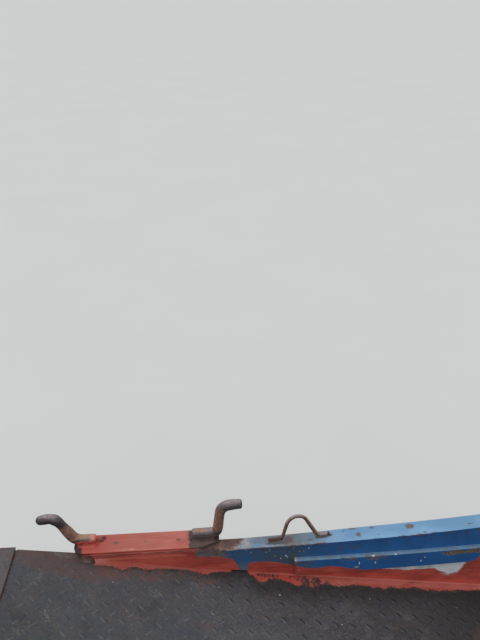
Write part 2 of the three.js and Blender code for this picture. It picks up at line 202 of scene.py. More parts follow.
# A patch of painted light on the deck under the horn plate's fore corner
DECK_CORNER_PAINTED_LIGHT = ((-355, 1467, 27, 13),)
CAP_CHIPS = (
    (297, 1465, 9, 3), (341, 1476, 14, 4), (359, 1481, 7, 4), (444, 1471, 7, 8),
    (601, 1484, 13, 9), (780, 1469, 9, 2), (430, 1495, 13, 3), (487, 1492, 8, 3),
    (640, 1456, 5, 3), (905, 1486, 8, 5), (1010, 1462, 12, 3), (1130, 1478, 6, 6),
    (1262, 1494, 18, 4), (1395, 1470, 9, 7), (1508, 1458, 14, 3),
)
CAP_CHIP_HEARTS = [
    (station, side, length * 0.72, width * 0.72) for station, side, length, width in CAP_CHIPS
]
CAP_PINK_MARKS = ((234, 1473, 13, 13), (222, 1462, 8, 6))
CAP_SHADE_BY_HOOP = ((192, 1462, 26, 5), (332, 1472, 19, 4), (357, 1478, 8, 5))
PLATE_DARK_LINE = ((-16, 1456, 16, 3), (4, 1460, 12, 3), (20, 1474, 6, 12))
PLATE_FORE_STAINS = ((-374, 1484, 9, 7), (-358, 1490, 7, 4), (-341, 1486, 8, 3))
PLATE_SMUDGES = ((-275, 1487, 8, 5), (-92, 1487, 7, 4))
PLATE_FAINT_SMUDGE = ((-188, 1486, 6, 4),)
PLATE_SCORCH = ((-312, 1506, 9, 8), (-322, 1498, 10, 6), (-336, 1492, 9, 4))
PLATE_GOUGE = ((-312, 1507, 5, 7), (-317, 1497, 6, 4))
PLATE_PALE_MARK = ((-228, 1460, 8, 3),)

# Marks on upright faces, as (station, height, half length, half height)
FACE_STAINS = ((389, 795, 13, 8), (424, 798, 16, 10), (446, 800, 8, 6))
FACE_FLECKS = (
    (225, 777, 2.6, 2.4), (229, 771, 2, 2), (210, 767, 2, 1.6), (175, 805, 1.8, 1.6),
    (247, 809, 2, 1.6), (105, 808, 1.4, 1.4), (192, 779, 1.6, 1.4), (165, 797, 1.4, 1.4),
    (120, 798, 1.4, 1.2),
)
WALE_FLECKS = (
    (447, 741, 1.8, 5.6), (496, 740, 1.8, 4), (637, 737, 2.2, 2.8), (487, 768, 4.6, 1.4),
    (441, 725, 6.4, 1.6), (478, 772, 3, 2), (556, 769, 3, 1.2), (418, 777, 4, 1.4), (360, 777, 4, 1.4),
)
# Chipped stretches of the wale's face, as (from station, to station, fade)
WALE_CHIPPED = ((395, 430, 14), (470, 520, 14), (712, 868, 30), (1040, 1180, 40), (1330, 1500, 40))

# How dull the blue faces and how dusty the cap's top are, by station, how far the cap's dusty
# arris reaches down its edge, and how far the painted light in pale red reaches up from the
# lining's foot
FACE_DULLNESS = (
    (40, 0.6), (70, 0.5), (110, 0.5), (145, 0.8), (180, 0.95), (262, 0.95), (290, 0.35),
    (330, 0.18), (430, 0),
)
CAP_DUSTINESS = (
    (95, 0), (128, 0.8), (180, 0.92), (258, 0.95), (282, 0.75), (325, 0.5), (352, 0.2), (400, 0),
)
ARRIS_REACH = (
    (30, 6), (64, 6), (78, 4), (200, 2.8), (330, 2.6), (345, 0), (580, 0), (592, 2.6), (655, 2.6),
    (668, 0),
)
PAINTED_LIGHT_RED_REACH = ((-340, 18), (-200, 14), (-60, 3), (-30, 0))
WATERLINE = 320

# The studio, and the camera where the photographer stood
FLOOR_REACH = 150
CAMERA_PLACE = (-0.2611, 0.183, 2.2803)
CAMERA_FALL = 28.74
CAMERA_HEADING = 3.95
IMAGE_HEIGHT = 640
FOCAL_PIXELS = 620


def srgb(red, green, blue):
    """A colour as a screen gives it, 0 to 255, in the linear values that shaders take."""
    def linear(value):
        share = value / 255
        return share / 12.92 if share <= 0.04045 else ((share + 0.055) / 1.055) ** 2.4
    return (linear(red), linear(green), linear(blue), 1.0)


# Colours of paint, steel and dirt, and of painted light and shade
LIGHT_BLUE = srgb(101, 143, 178)
LIGHT_BLUE_BRIGHT = srgb(122, 162, 196)
LIGHT_BLUE_GREY = srgb(116, 134, 146)
DARK_BLUE = srgb(42, 104, 167)
DEEP_BLUE = srgb(34, 76, 128)
DIRTY_BLUE = srgb(62, 98, 134)
WHITE = srgb(234, 238, 238)
WHITE_DIRTY = srgb(190, 194, 190)
RED = srgb(206, 88, 72)
RED_DEEP = srgb(168, 66, 54)
RED_LIGHT = srgb(206, 106, 92)
RED_SHADOW = srgb(120, 46, 40)
MARGIN_RED = srgb(172, 90, 78)
SALMON = srgb(184, 102, 90)
SALMON_DEEP = srgb(166, 86, 74)
SALMON_LIGHT = srgb(196, 128, 114)
RUST_DARK = srgb(66, 46, 42)
RUST_BROWN = srgb(104, 72, 56)
RUST_ORANGE = srgb(158, 98, 58)
RUST_PURPLE = srgb(104, 84, 88)
STEEL_GREY = srgb(128, 122, 116)
PATCH_BROWN = srgb(108, 86, 80)
PATCH_DARK = srgb(80, 64, 60)
CONCRETE = srgb(148, 144, 134)
CONCRETE_PALE = srgb(176, 168, 154)
GRIME = srgb(36, 33, 33)
NEAR_BLACK = srgb(20, 18, 18)
DECK_BLUISH = srgb(66, 67, 72)
DECK_BROWN = srgb(55, 50, 50)
DECK_SMEAR = srgb(72, 60, 56)
DECK_LIGHT = srgb(112, 111, 116)
DECK_RUST = srgb(90, 66, 60)
PRIMER = srgb(130, 62, 50)
PRIMER_LIGHT = srgb(156, 84, 68)
ANTIFOULING = srgb(124, 50, 40)
SCUM = srgb(96, 92, 72)
SPECK_WHITE = srgb(226, 222, 208)
SPECK_YELLOW = srgb(188, 170, 128)
CHIP_GREY = srgb(104, 104, 106)
HOOP_BROWN = srgb(120, 94, 84)
HOOP_TAN = srgb(148, 112, 92)
HOOP_PALE_AND_HIGHLIGHT = srgb(148, 136, 138)
HOOP_DARK_AND_SHADE = srgb(82, 64, 60)
HOOP_FOOT_DARK = srgb(80, 56, 52)
HORN_HIGHLIGHT = srgb(152, 137, 136)
HORN_GREY = srgb(118, 104, 106)
HORN_DARK = srgb(88, 78, 80)
HORN_SHADOW = srgb(48, 40, 37)
HORN_TAN_AND_HIGHLIGHT = srgb(170, 130, 98)
RISER_TAN = srgb(176, 126, 98)
RISER_BROWN = srgb(122, 90, 76)
FOOT_BROWN = srgb(98, 80, 77)
# Red of the fore foot, made brighter as painted light against the shade under the bar
FOOT_RED_WITH_PAINTED_LIGHT = srgb(246, 112, 96)
FOOT_DEEP_RED_WITH_PAINTED_LIGHT = srgb(214, 88, 72)
BARE_RED = srgb(122, 92, 84)
BARE_RED_DARK = srgb(94, 70, 64)
BARE_PINK = srgb(142, 110, 100)
DARK_SMEAR = srgb(84, 72, 70)
FACE_SMEAR = srgb(118, 100, 96)
RIM_BROWN = srgb(98, 70, 68)
CAP_DUST = srgb(108, 103, 100)
CAP_DUST_COOL = srgb(104, 114, 120)
CAP_SHADE = srgb(72, 70, 68)
CAP_PINK = srgb(106, 82, 82)
DULL_BLUE = srgb(58, 90, 120)
DULL_BROWN = srgb(76, 82, 84)
RED_PAINTED_LIGHT = srgb(222, 118, 100)
PINK_PAINTED_LIGHT = srgb(250, 176, 160)
MARGIN_RED_DARK = srgb(150, 76, 66)
ARRIS_PALE = srgb(188, 164, 156)
ARRIS_BROWN = srgb(132, 114, 114)
FLAP_DUST = srgb(132, 118, 114)
CHIP_OLIVE = srgb(128, 116, 96)
DECK_BLUE = srgb(56, 61, 72)
DECK_TAN = srgb(80, 68, 62)
DECK_EDGE_LIGHT = srgb(104, 92, 90)
DECK_PAINTED_LIGHT_TAN = srgb(146, 117, 108)
SAND = srgb(150, 142, 130)
SEAM_DIRT = srgb(96, 82, 78)
SEAM_PAINTED_LIGHT = srgb(116, 110, 110)
FRINGE = srgb(86, 56, 50)


def at(station, y, z):
    """A point given in millimetres, as the frame's metres."""
    return Vector((STATION_ZERO + station * MM, y * MM, z * MM))


def deck_top(station):
    return DECK_Z_AT_0 - DECK_FALL * station


def rail_top(station):
    return RAIL_Z + max(0, station - SHEER_START) ** 2 / (2 * SHEER_RADIUS)


def wale_top(station):
    return WALE_TOP_AT_START + (station - WALE_START) ** 2 / (2 * WALE_RADIUS)


def hoop_y(station):
    """The hoop's distance from the centre plane: it was welded on a little askew."""
    return HOOP_Y + (station - HOOP_X) * HOOP_LEAN


class Field:
    """A value or colour worked out over a surface. Its operators add shader nodes."""

    def __init__(self, surface, socket):
        self.surface = surface
        self.socket = socket

    def __add__(self, other):
        return self.surface.math("ADD", self, other)

    def __sub__(self, other):
        return self.surface.math("SUBTRACT", self, other)

    def __rsub__(self, other):
        return self.surface.math("SUBTRACT", other, self)

    def __mul__(self, other):
        return self.surface.math("MULTIPLY", self, other)

    __radd__ = __add__
    __rmul__ = __mul__

    def ramp(self, start, end):
        """0 up to start and 1 from end on, smooth between. It falls where start is over end."""
        inputs = ((0, self), (1, start), (2, end))
        return self.surface.field("ShaderNodeMapRange", inputs, interpolation_type="SMOOTHSTEP")

    def band(self, low, high, soft):
        """1 between low and high, fading over soft outside them."""
        return self.ramp(low - soft, low) * self.ramp(high + soft, high)

    def line(self, points):
        """Read off a broken line through (input, output) points, level past its ends."""
        inputs, outputs = zip(*points)
        first, last = inputs[0], inputs[-1]
        low, high = min(outputs), max(outputs)
        share = self.surface.field("ShaderNodeMapRange", ((0, self), (1, first), (2, last)))
        node = self.surface.make("ShaderNodeFloatCurve", (("Value", share),))
        curve = node.mapping.curves[0]
        for i, (given, read) in enumerate(points):
            where = ((given - first) / (last - first), (read - low) / (high - low))
            if i < 2:
                curve.points[i].location = where
            else:
                curve.points.new(*where)
        for point in curve.points:
            point.handle_type = "VECTOR"
        node.mapping.update()
        return self.surface.math("MULTIPLY_ADD", Field(self.surface, node.outputs[0]), high - low, low)


class Coat:
    """One finish: its colour, roughness, relief in millimetres and metal share."""

    def __init__(self, colour, roughness, relief=0.0, metal=0.0):
        self.colour = colour
        self.roughness = roughness
        self.relief = relief
        self.metal = metal


class Surface:
    """A procedural material under construction. Places are fields in millimetres.

    Its coat is what has been laid on it so far.
    """

    def __init__(self, name):
        self.material = bpy.data.materials.new(name)
        self.material.use_nodes = True
        self.tree = self.material.node_tree
        self.tree.nodes.clear()
        self.coat = None
        coordinates = self.make("ShaderNodeTexCoord").outputs
        self.place = Field(self, coordinates["Object"])
        x, y, z = self.parts(self.place)
        self.station = self.math("MULTIPLY_ADD", x, 1000, -STATION_ZERO * 1000)
        self.side = self.math("ABSOLUTE", y * 1000)
        self.height = z * 1000
        self.up = self.parts(Field(self, coordinates["Normal"]))[2]

    def make(self, kind, inputs=(), **settings):
        """Adds a node. inputs are pairs of a socket and a field or plain value for it."""
        node = self.tree.nodes.new(kind)
        for name, value in settings.items():
            setattr(node, name, value)
        for socket, value in inputs:
            if isinstance(value, Field):
                self.tree.links.new(value.socket, node.inputs[socket])
            else:
                node.inputs[socket].default_value = value
        return node

    def field(self, kind, inputs, output=0, **settings):
        """Adds a node for one of its outputs."""
        return Field(self, self.make(kind, inputs, **settings).outputs[output])

    def parts(self, vector, kind="ShaderNodeSeparateXYZ"):
        return [Field(self, socket) for socket in self.make(kind, ((0, vector),)).outputs]

    def math(self, operation, *values):
        return self.field("ShaderNodeMath", enumerate(values), operation=operation)

    def most(self, *values):
        """The greatest of some fields."""
        found = values[0]
        for value in values[1:]:
            found = self.math("MAXIMUM", found, value)
        return found

    def cells(self, size, stretch=(1, 1, 1), shift=0.0):
        """The place counted in cells of that size, for a texture to read."""
        scale = [1000 / (size * way) for way in stretch]
        inputs = (("Vector", self.place), ("Location", (shift,) * 3), ("Scale", scale))
        return self.field("ShaderNodeMapping", inputs)

    def noise(self, size, detail=4, shift=0.0, rough=0.55, along=1, across=1, tall=1):
        """Noise about 0.5 with features of that size, drawn out where along, across or tall is over 1."""
        cells = self.cells(size, (along, across, tall), shift)
        inputs = (("Vector", cells), ("Scale", 1.0), ("Detail", detail), ("Roughness", rough))
        return self.field("ShaderNodeTexNoise", inputs)

    def ragged(self, amount, shift=0.0):
        """An uneven brush edge: how far it strays from its line, in millimetres."""
        broad = self.noise(34, detail=3, shift=shift) - 0.5
        fine = self.noise(6, shift=shift + 1.3) - 0.5
        return broad * (amount * 1.6) + fine * amount

    def specks(self, pitch, share, radius, shift=0.0):
        """Small round marks: a share of cells of that pitch holds one, of that part of a cell."""
        cells = self.cells(pitch, shift=shift)
        node = self.make("ShaderNodeTexVoronoi", (("Vector", cells), ("Scale", 1.0)))
        chance = self.parts(Field(self, node.outputs["Color"]), "ShaderNodeSeparateColor")
        rim = Field(self, node.outputs["Distance"]) - chance[1] * radius
        return rim.ramp(0.04, -0.04) * self.math("LESS_THAN", chance[0], share)

    def spots(self, places, across=None):
        """Marks with torn rims, from one of the lists of marks."""
        across = across or self.side
        warp = (self.noise(7, detail=3, shift=5.5) - 0.5) * 1.1
        found = []
        for station, place, length, width in places:
            along = (self.station - station) * (1 / length)
            over = (across - place) * (1 / width)
            reach = self.math("SQRT", along * along + over * over)
            found.append((reach + warp).ramp(1.08, 0.92))
        return self.most(*found)

    def under_edge(self, edge):
        """1 below a brushed edge that is given as (station, height) points."""
        return (self.station.line(edge) + self.ragged(5) - self.height).ramp(-0.8, 0.8)

    def blend(self, share, under, over):
        """Mixes two colours."""
        return self.field("ShaderNodeMix", ((0, share), (6, under), (7, over)), 2, data_type="RGBA")

    def level(self, share, under, over):
        """Mixes two numbers, each plain or a field."""
        if not isinstance(under, Field) and not isinstance(over, Field) and under == over:
            return under
        return self.field("ShaderNodeMix", ((0, share), (2, under), (3, over)), data_type="FLOAT")

    def lay(self, under, over, mask, film=0.0):
        """Puts one coat over another where the mask is 1. A film lifts it that many millimetres."""
        return Coat(
            self.blend(mask, under.colour, over.colour),
            self.level(mask, under.roughness, over.roughness),
            self.level(mask, under.relief, over.relief + film),
            self.level(mask, under.metal, over.metal),
        )

    def cover(self, over, mask, film=0.0):
        """Puts a coat on the surface where the mask is 1."""
        self.coat = self.lay(self.coat, over, mask, film)

    def stain(self, colour, mask, roughness=0.85, film=0.0):
        """Puts a dull, flat colour on the surface where the mask is 1."""
        self.cover(Coat(colour, roughness), mask, film)

    def tint(self, colour, mask):
        """Changes the colour alone where the mask is 1."""
        self.coat.colour = self.blend(mask, self.coat.colour, colour)

    def finish(self):
        coat = self.coat
        inputs = [("Base Color", coat.colour), ("Roughness", coat.roughness), ("Metallic", coat.metal)]
        if isinstance(coat.relief, Field):
            relief = (("Distance", MM), ("Height", coat.relief))
            inputs.append(("Normal", self.field("ShaderNodeBump", relief)))
        shader = self.field("ShaderNodeBsdfPrincipled", inputs)
        self.make("ShaderNodeOutputMaterial", (("Surface", shader),))
        return self.material


def painted(name, paint, *options):
    """A material of that name, with the looks that a paint function gives it."""
    s = Surface(name)
    paint(s, *options)
    return s.finish()


# Coats: each returns one finish, with its own variation

def rust(s, dark=RUST_DARK, main=RUST_BROWN, bright=RUST_ORANGE):
    grain = s.noise(5)
    colour = s.blend(s.noise(45, detail=5, shift=3.1).ramp(0.36, 0.6), dark, main)
    colour = s.blend(s.noise(28, shift=9.7).ramp(0.52, 0.7) * 0.8, colour, bright)
    colour = s.blend(grain.ramp(0.55, 0.75) * 0.5, colour, dark)
    return Coat(colour, 0.88, grain * 0.5)


def light_blue(s):
    fine = s.noise(7)
    colour = s.blend(s.noise(70, detail=3, along=2).ramp(0.35, 0.68), LIGHT_BLUE, LIGHT_BLUE_BRIGHT)
    colour = s.blend(fine.ramp(0.52, 0.75) * 0.35, colour, LIGHT_BLUE_GREY)
    return Coat(colour, s.level(fine, 0.42, 0.6), s.noise(26, detail=3, along=4) * 0.15)


def dark_blue(s):
    streaks = s.noise(14, tall=5)
    colour = s.blend(s.noise(90, detail=3, shift=5.0).ramp(0.35, 0.68) * 0.45, DARK_BLUE, DEEP_BLUE)
    colour = s.blend(streaks.ramp(0.54, 0.76) * 0.4, colour, DIRTY_BLUE)
    return Coat(colour, s.level(streaks, 0.36, 0.58), s.noise(5, detail=2, along=14) * 0.18)


def white(s):
    colour = s.blend(s.noise(36, shift=1.7, tall=2.5).ramp(0.42, 0.7), WHITE, WHITE_DIRTY)
    return Coat(colour, 0.58, s.noise(5, detail=2, shift=4.0, along=14) * 0.18)


def brushed_red(s, main=RED, deep=RED_DEEP, light=RED_LIGHT, shadow=RED_SHADOW):
    """Thick red primer, put on with a broad brush worked fore and aft."""
    strokes = s.noise(5, detail=3, shift=2.2, along=16)
    clouds = s.noise(55, shift=6.4, along=2.5)
    colour = s.blend(clouds.ramp(0.36, 0.62), main, deep)
    colour = s.blend(strokes.ramp(0.5, 0.74) * 0.36, colour, light)
    colour = s.blend(s.noise(7, shift=9.1, along=9).ramp(0.46, 0.32) * 0.34, colour, shadow)
    return Coat(colour, s.level(clouds, 0.55, 0.75), strokes * 0.45 + s.noise(3, detail=2) * 0.12)


def primer(s):
    fine = s.noise(4, detail=3)
    colour = s.blend(s.noise(120, detail=5, shift=8.0).ramp(0.35, 0.65), PRIMER, PRIMER_LIGHT)
    return Coat(s.blend(fine.ramp(0.55, 0.8) * 0.4, colour, RUST_BROWN), 0.78, fine * 0.15)


def below_rail_top(s):
    """How far below the rail cap's top, in millimetres."""
    past = s.most(s.station - SHEER_START, 0)
    return s.math("MULTIPLY_ADD", past * past, 1 / (2 * SHEER_RADIUS), RAIL_Z) - s.height


def below_wale_top(s):
    """How far below the wale's top edge, in millimetres."""
    past = s.station - WALE_START
    return s.math("MULTIPLY_ADD", past * past, 1 / (2 * WALE_RADIUS), WALE_TOP_AT_START) - s.height


def red_on_deck(s):
    teeth = (s.noise(4.5, detail=3, shift=3.4, across=2.5) - 0.5) * 15
    edge = s.station.line(DECK_RED_EDGE) + s.ragged(13, shift=7.0) + teeth
    bushy = s.noise(7, detail=5, shift=0.7, rough=0.75).ramp(0.4, 0.5)
    bare = s.most(s.spots(DECK_RED_DOTS) * 0.85, s.spots(DECK_RED_BITES) * bushy)
    return (s.side - edge).ramp(-1.5, 1.5) * (1 - bare)


# Paint functions: each lays a surface's finish from the bottom up

def faces_by_horn_plate(s):
    """Dark blue upright paint as it is near the horn plate: red beside it, dirty brown just aft."""
    s.coat = dark_blue(s)
    grain = s.noise(9, detail=5, shift=2.9, rough=0.7)
    dullness = s.station.line(FACE_DULLNESS) * s.level(grain.ramp(0.3, 0.5), 0.7, 1.0)
    s.stain(s.blend(grain.ramp(0.42, 0.6), DULL_BLUE, DULL_BROWN), dullness, 0.75)
    stained = s.spots(FACE_STAINS, across=s.height) * grain.ramp(0.36, 0.56)
    s.stain(DULL_BROWN, stained * 0.7, 0.8)
    place = s.station + s.ragged(22)
    s.stain(s.blend(s.noise(11).ramp(0.5, 0.7), FACE_SMEAR, DIRTY_BLUE), place.ramp(60, 32), 0.75)
    smeared = s.noise(6, shift=5.1, rough=0.7, along=3).ramp(0.52, 0.62)
    s.stain(PATCH_DARK, smeared * place.band(-44, 76, 16) * 0.8, 0.8)
    s.cover(brushed_red(s), place.ramp(-38, -52), film=0.25)


def dusty_arris(s):
    """The cap's upper arris, rubbed pale near the horn plate and brown further aft."""
    colour = s.blend((s.station + s.ragged(20)).ramp(90, 125), ARRIS_PALE, ARRIS_BROWN)
    reach = s.station.line(ARRIS_REACH)
    worn = (below_rail_top(s) - reach + s.ragged(1.5)).ramp(1, -1) * reach.ramp(0, 1.5)
    gaps = s.noise(14, detail=5, shift=8.3, rough=0.7).ramp(0.36, 0.46)
    s.stain(colour, worn * gaps * s.station.ramp(26, 32))


def rail_paint(s, worn_edge=False):
    """The rail cap: faded light blue above, dark blue on its edges, bare and rusty by the horns."""
    top = s.up.ramp(0.45, 0.8)
    place = s.station + (s.noise(40, shift=2.0) - 0.5) * 60
    inner = (s.side + s.ragged(8)).ramp(1468, 1457)
    grain = s.noise(7, detail=5, shift=2.4, rough=0.7)
    faces_by_horn_plate(s)
    dusty_arris(s)
    s.cover(light_blue(s), top)

    dusty = place.line(CAP_DUSTINESS) * s.level(grain.ramp(0.34, 0.56), 0.72, 1.0)
    dusty = dusty * (1 - inner * place.ramp(215, 165) * 0.55)
    s.stain(s.blend(s.noise(16, detail=5).ramp(0.4, 0.62), CAP_DUST, CAP_DUST_COOL), dusty * top)
    pale = s.blend(s.noise(8).ramp(0.4, 0.6), CONCRETE_PALE, CONCRETE)
    s.stain(pale, place.band(70, 108, 26) * grain.ramp(0.34, 0.56) * top * 0.85, 0.8)
    chalk = s.noise(5, shift=1.6, rough=0.7).ramp(0.5, 0.6) * s.side.ramp(1462, 1453)
    s.stain(CONCRETE_PALE, chalk * s.station.band(80, 330, 30) * top * 0.6)
    grit = s.noise(3.5, shift=6.7, rough=0.7).ramp(0.56, 0.63)
    s.stain(DARK_SMEAR, grit * s.station.band(70, 300, 40) * top * 0.6)
    s.stain(CAP_PINK, s.spots(CAP_PINK_MARKS) * top * 0.8)
    s.stain(CAP_SHADE, s.spots(CAP_SHADE_BY_HOOP) * top * 0.75)

    worn = (place - (s.side - HALF_BREADTH) * 0.85 + (grain - 0.5) * 50).ramp(82, 58)
    s.cover(rust(s, dark=BARE_RED_DARK, main=BARE_RED, bright=BARE_PINK), worn * top)
    s.cover(rust(s, main=BARE_RED_DARK, bright=BARE_RED), place.ramp(38, 12) * top)
    chipped = rust(s, dark=CHIP_GREY, main=PATCH_BROWN, bright=RUST_BROWN)
    s.cover(chipped, s.spots(CAP_CHIPS) * top * 0.9, film=-0.3)
    s.stain(CHIP_GREY, s.spots(CAP_CHIP_HEARTS) * top * 0.7, film=-0.4)
    clear_of_plate = s.station.ramp(0, 30)
    near_edge = s.math("ABSOLUTE", s.side - HALF_BREADTH).ramp(5, 0)
    chance = s.noise(11, detail=5, shift=4.4, rough=0.75, along=4) + near_edge * 0.08
    s.cover(rust(s, main=RIM_BROWN), chance.ramp(0.64, 0.68) * clear_of_plate, film=-0.3)
    if worn_edge:
        on_arris = s.station.line(ARRIS_REACH).ramp(0, 2)
        chance = s.noise(9, detail=5, shift=1.1, rough=0.75, along=5) + on_arris * 0.1
        s.cover(rust(s, main=RIM_BROWN), chance.ramp(0.54, 0.62) * clear_of_plate * 0.85)


def wale_paint(s, worn_edge=False):
    """The wale: dusty light blue above, dark blue in front, chipped down to older coats."""
    top = s.up.ramp(0.45, 0.8)
    dusty = s.lay(light_blue(s), Coat(LIGHT_BLUE_GREY, 0.7), s.noise(14).ramp(0.38, 0.6))
    s.coat = s.lay(dark_blue(s), dusty, top)
    grubby = s.blend(s.noise(8).ramp(0.4, 0.6), DARK_SMEAR, DIRTY_BLUE)
    s.stain(grubby, (s.station + s.ragged(20)).ramp(330, 285) * (1 - top) * 0.85, 0.75)
    chips = s.noise(6, detail=5, shift=3.3, rough=0.75, along=2.4).ramp(0.5, 0.54)
    dense = s.noise(7, detail=5, shift=1.9, rough=0.75, along=2).ramp(0.42, 0.47)
    chips = s.most(chips, dense * s.station.band(716, 862, 24))
    chipped = s.most(*(s.station.band(*stretch) for stretch in WALE_CHIPPED))
    below = below_wale_top(s) + s.ragged(12) - s.station.band(700, 880, 20) * 8
    front = (s.side + s.ragged(5)).ramp(1448, 1444) * below.band(-3, 12, 3)
    torn = s.lay(rust(s), Coat(CHIP_OLIVE, 0.7), s.noise(4, detail=3).ramp(0.46, 0.54))
    torn = s.lay(torn, Coat(SPECK_YELLOW, 0.7), s.noise(3, detail=3, shift=8.2).ramp(0.6, 0.64))
    torn = s.lay(torn, Coat(SPECK_WHITE, 0.7), s.specks(7, 0.22, 0.2, shift=4.0) * 0.8)
    s.cover(torn, chips * chipped * front, film=-0.3)
    start = (s.station + s.ragged(8)).ramp(262, 255) * below_wale_top(s).ramp(14, 8)
    s.stain(s.blend(top, BARE_RED, CONCRETE_PALE), start * 0.8, 0.8)
    s.cover(brushed_red(s), s.under_edge(WALE_RED_EDGE), film=0.25)
    s.stain(RED_SHADOW, s.station.ramp(256, 252) * s.height.ramp(752, 744) * 0.6, 0.8)
    flecks = s.spots(WALE_FLECKS, across=s.height) * s.side.ramp(1446, 1443)
    s.stain(SPECK_WHITE, s.most(flecks, s.specks(24, 0.16, 0.1, shift=2.0)), 0.6, film=0.1)
    if worn_edge:
        s.cover(torn, s.noise(12, detail=5, shift=1.1, along=2).ramp(0.54, 0.6))


def lining_paint(s):
    """The bulwark's inner face: a blue band over white, with red primer brushed along its foot."""
    below_wale = (below_wale_top(s) + s.ragged(1.5)).ramp(WALE_HEIGHT - 4, WALE_HEIGHT + 1)
    is_aft = s.station.ramp(246, 256)
    faces_by_horn_plate(s)
    s.cover(white(s), below_wale * is_aft)
    by_scupper = (s.station + s.ragged(18)).band(SCUPPER_FORE - 10, SCUPPER_AFT + 26, 14)
    low = (s.height + s.ragged(12)).ramp(768, 738)
    s.stain(s.blend(s.noise(9, detail=3), STEEL_GREY, DIRTY_BLUE), by_scupper * low * 0.8, 0.7)

    marks = s.lay(Coat(SPECK_WHITE, 0.6), Coat(SPECK_YELLOW, 0.6), s.noise(20, detail=3).ramp(0.45, 0.6))
    near_cap = s.height.ramp(776, 800) * s.station.band(145, 290, 20)
    flakes = s.noise(7, detail=5, shift=6.0, rough=0.7, along=1.8).ramp(0.55, 0.6)
    flaking = s.height.ramp(792, 806) * s.station.band(150, 232, 14)
    flaking = s.most(flaking, s.height.ramp(800, 812) * is_aft * 0.5)
    s.cover(rust(s, main=RIM_BROWN), flakes * flaking)
    flecks = s.specks(15, 0.3, 0.17, shift=3.0) * near_cap
    s.cover(marks, s.most(flecks, s.spots(FACE_FLECKS, across=s.height)), film=0.1)
    yellow = s.specks(8, 0.3, 0.16, shift=5.0) * s.station.band(10, 110, 16)
    s.stain(SPECK_YELLOW, yellow * s.height.ramp(780, 800) * 0.5, 0.8)
    s.cover(marks, s.specks(19, 0.16, 0.1) * s.station.ramp(230, 330), film=0.1)
    s.cover(rust(s), s.specks(30, 0.2, 0.16, shift=4.0) * 0.7, film=-0.1)
    by_wale = (s.station + s.ragged(8)).band(238, 252, 6) * s.height.ramp(800, 775)
    s.stain(DULL_BROWN, by_wale * 0.7, 0.8)

    red = s.under_edge(LINING_RED_EDGE)
    dry_brush = s.noise(3.5, detail=3, shift=5.0, along=12).ramp(0.42, 0.5)
    near_white = (s.station.line(LINING_RED_EDGE) - s.height).ramp(15, 6) * s.station.band(716, 800, 10)
    s.cover(brushed_red(s), red * (1 - near_white * (1 - dry_brush) * 0.8), film=0.35)
    # Up-facing parts, such as the weld bead's top: darker red forward, and aft a salmon painted highlight.
    weld_top_tint_and_highlight = s.blend(s.station.ramp(150, 300), MARGIN_RED_DARK, SALMON)
    s.tint(weld_top_tint_and_highlight, s.up.ramp(0.15, 0.7) * red)
    # Painted light: paler red low on the lining's fore part and high under the horn plate, where shade
    # falls, and a pale pink further forward.
    above_deck = s.height - (DECK_Z_AT_0 - s.station * DECK_FALL)
    reach = s.station.line(PAINTED_LIGHT_RED_REACH)
    lit = (above_deck - reach + s.ragged(4)).ramp(1.5, -1.5) * s.station.ramp(-30, -60)
    lit = s.most(lit, (s.station + s.ragged(20)).ramp(-240, -320) * 0.75)
    high = (s.height + s.ragged(10)).ramp(797, 803) * s.station.ramp(-58, -90)
    upright = s.up.ramp(0.7, 0.3)
    s.tint(RED_PAINTED_LIGHT, s.most(lit * 0.62, high * 0.8) * upright)
    painted_light_fore = (s.station + s.ragged(40)).ramp(-286, -330) * (above_deck + s.ragged(10)).ramp(28, 20)
    painted_light_fore = painted_light_fore * s.level(s.noise(7, shift=2.6).ramp(0.4, 0.56), 0.2, 0.55)
    s.tint(PINK_PAINTED_LIGHT, painted_light_fore * upright)
    foot = (above_deck + s.ragged(6)).ramp(9, 0)
    s.stain(GRIME, foot * s.station.band(SCUPPER_FORE + 4, SCUPPER_AFT - 4, 8), 0.8)


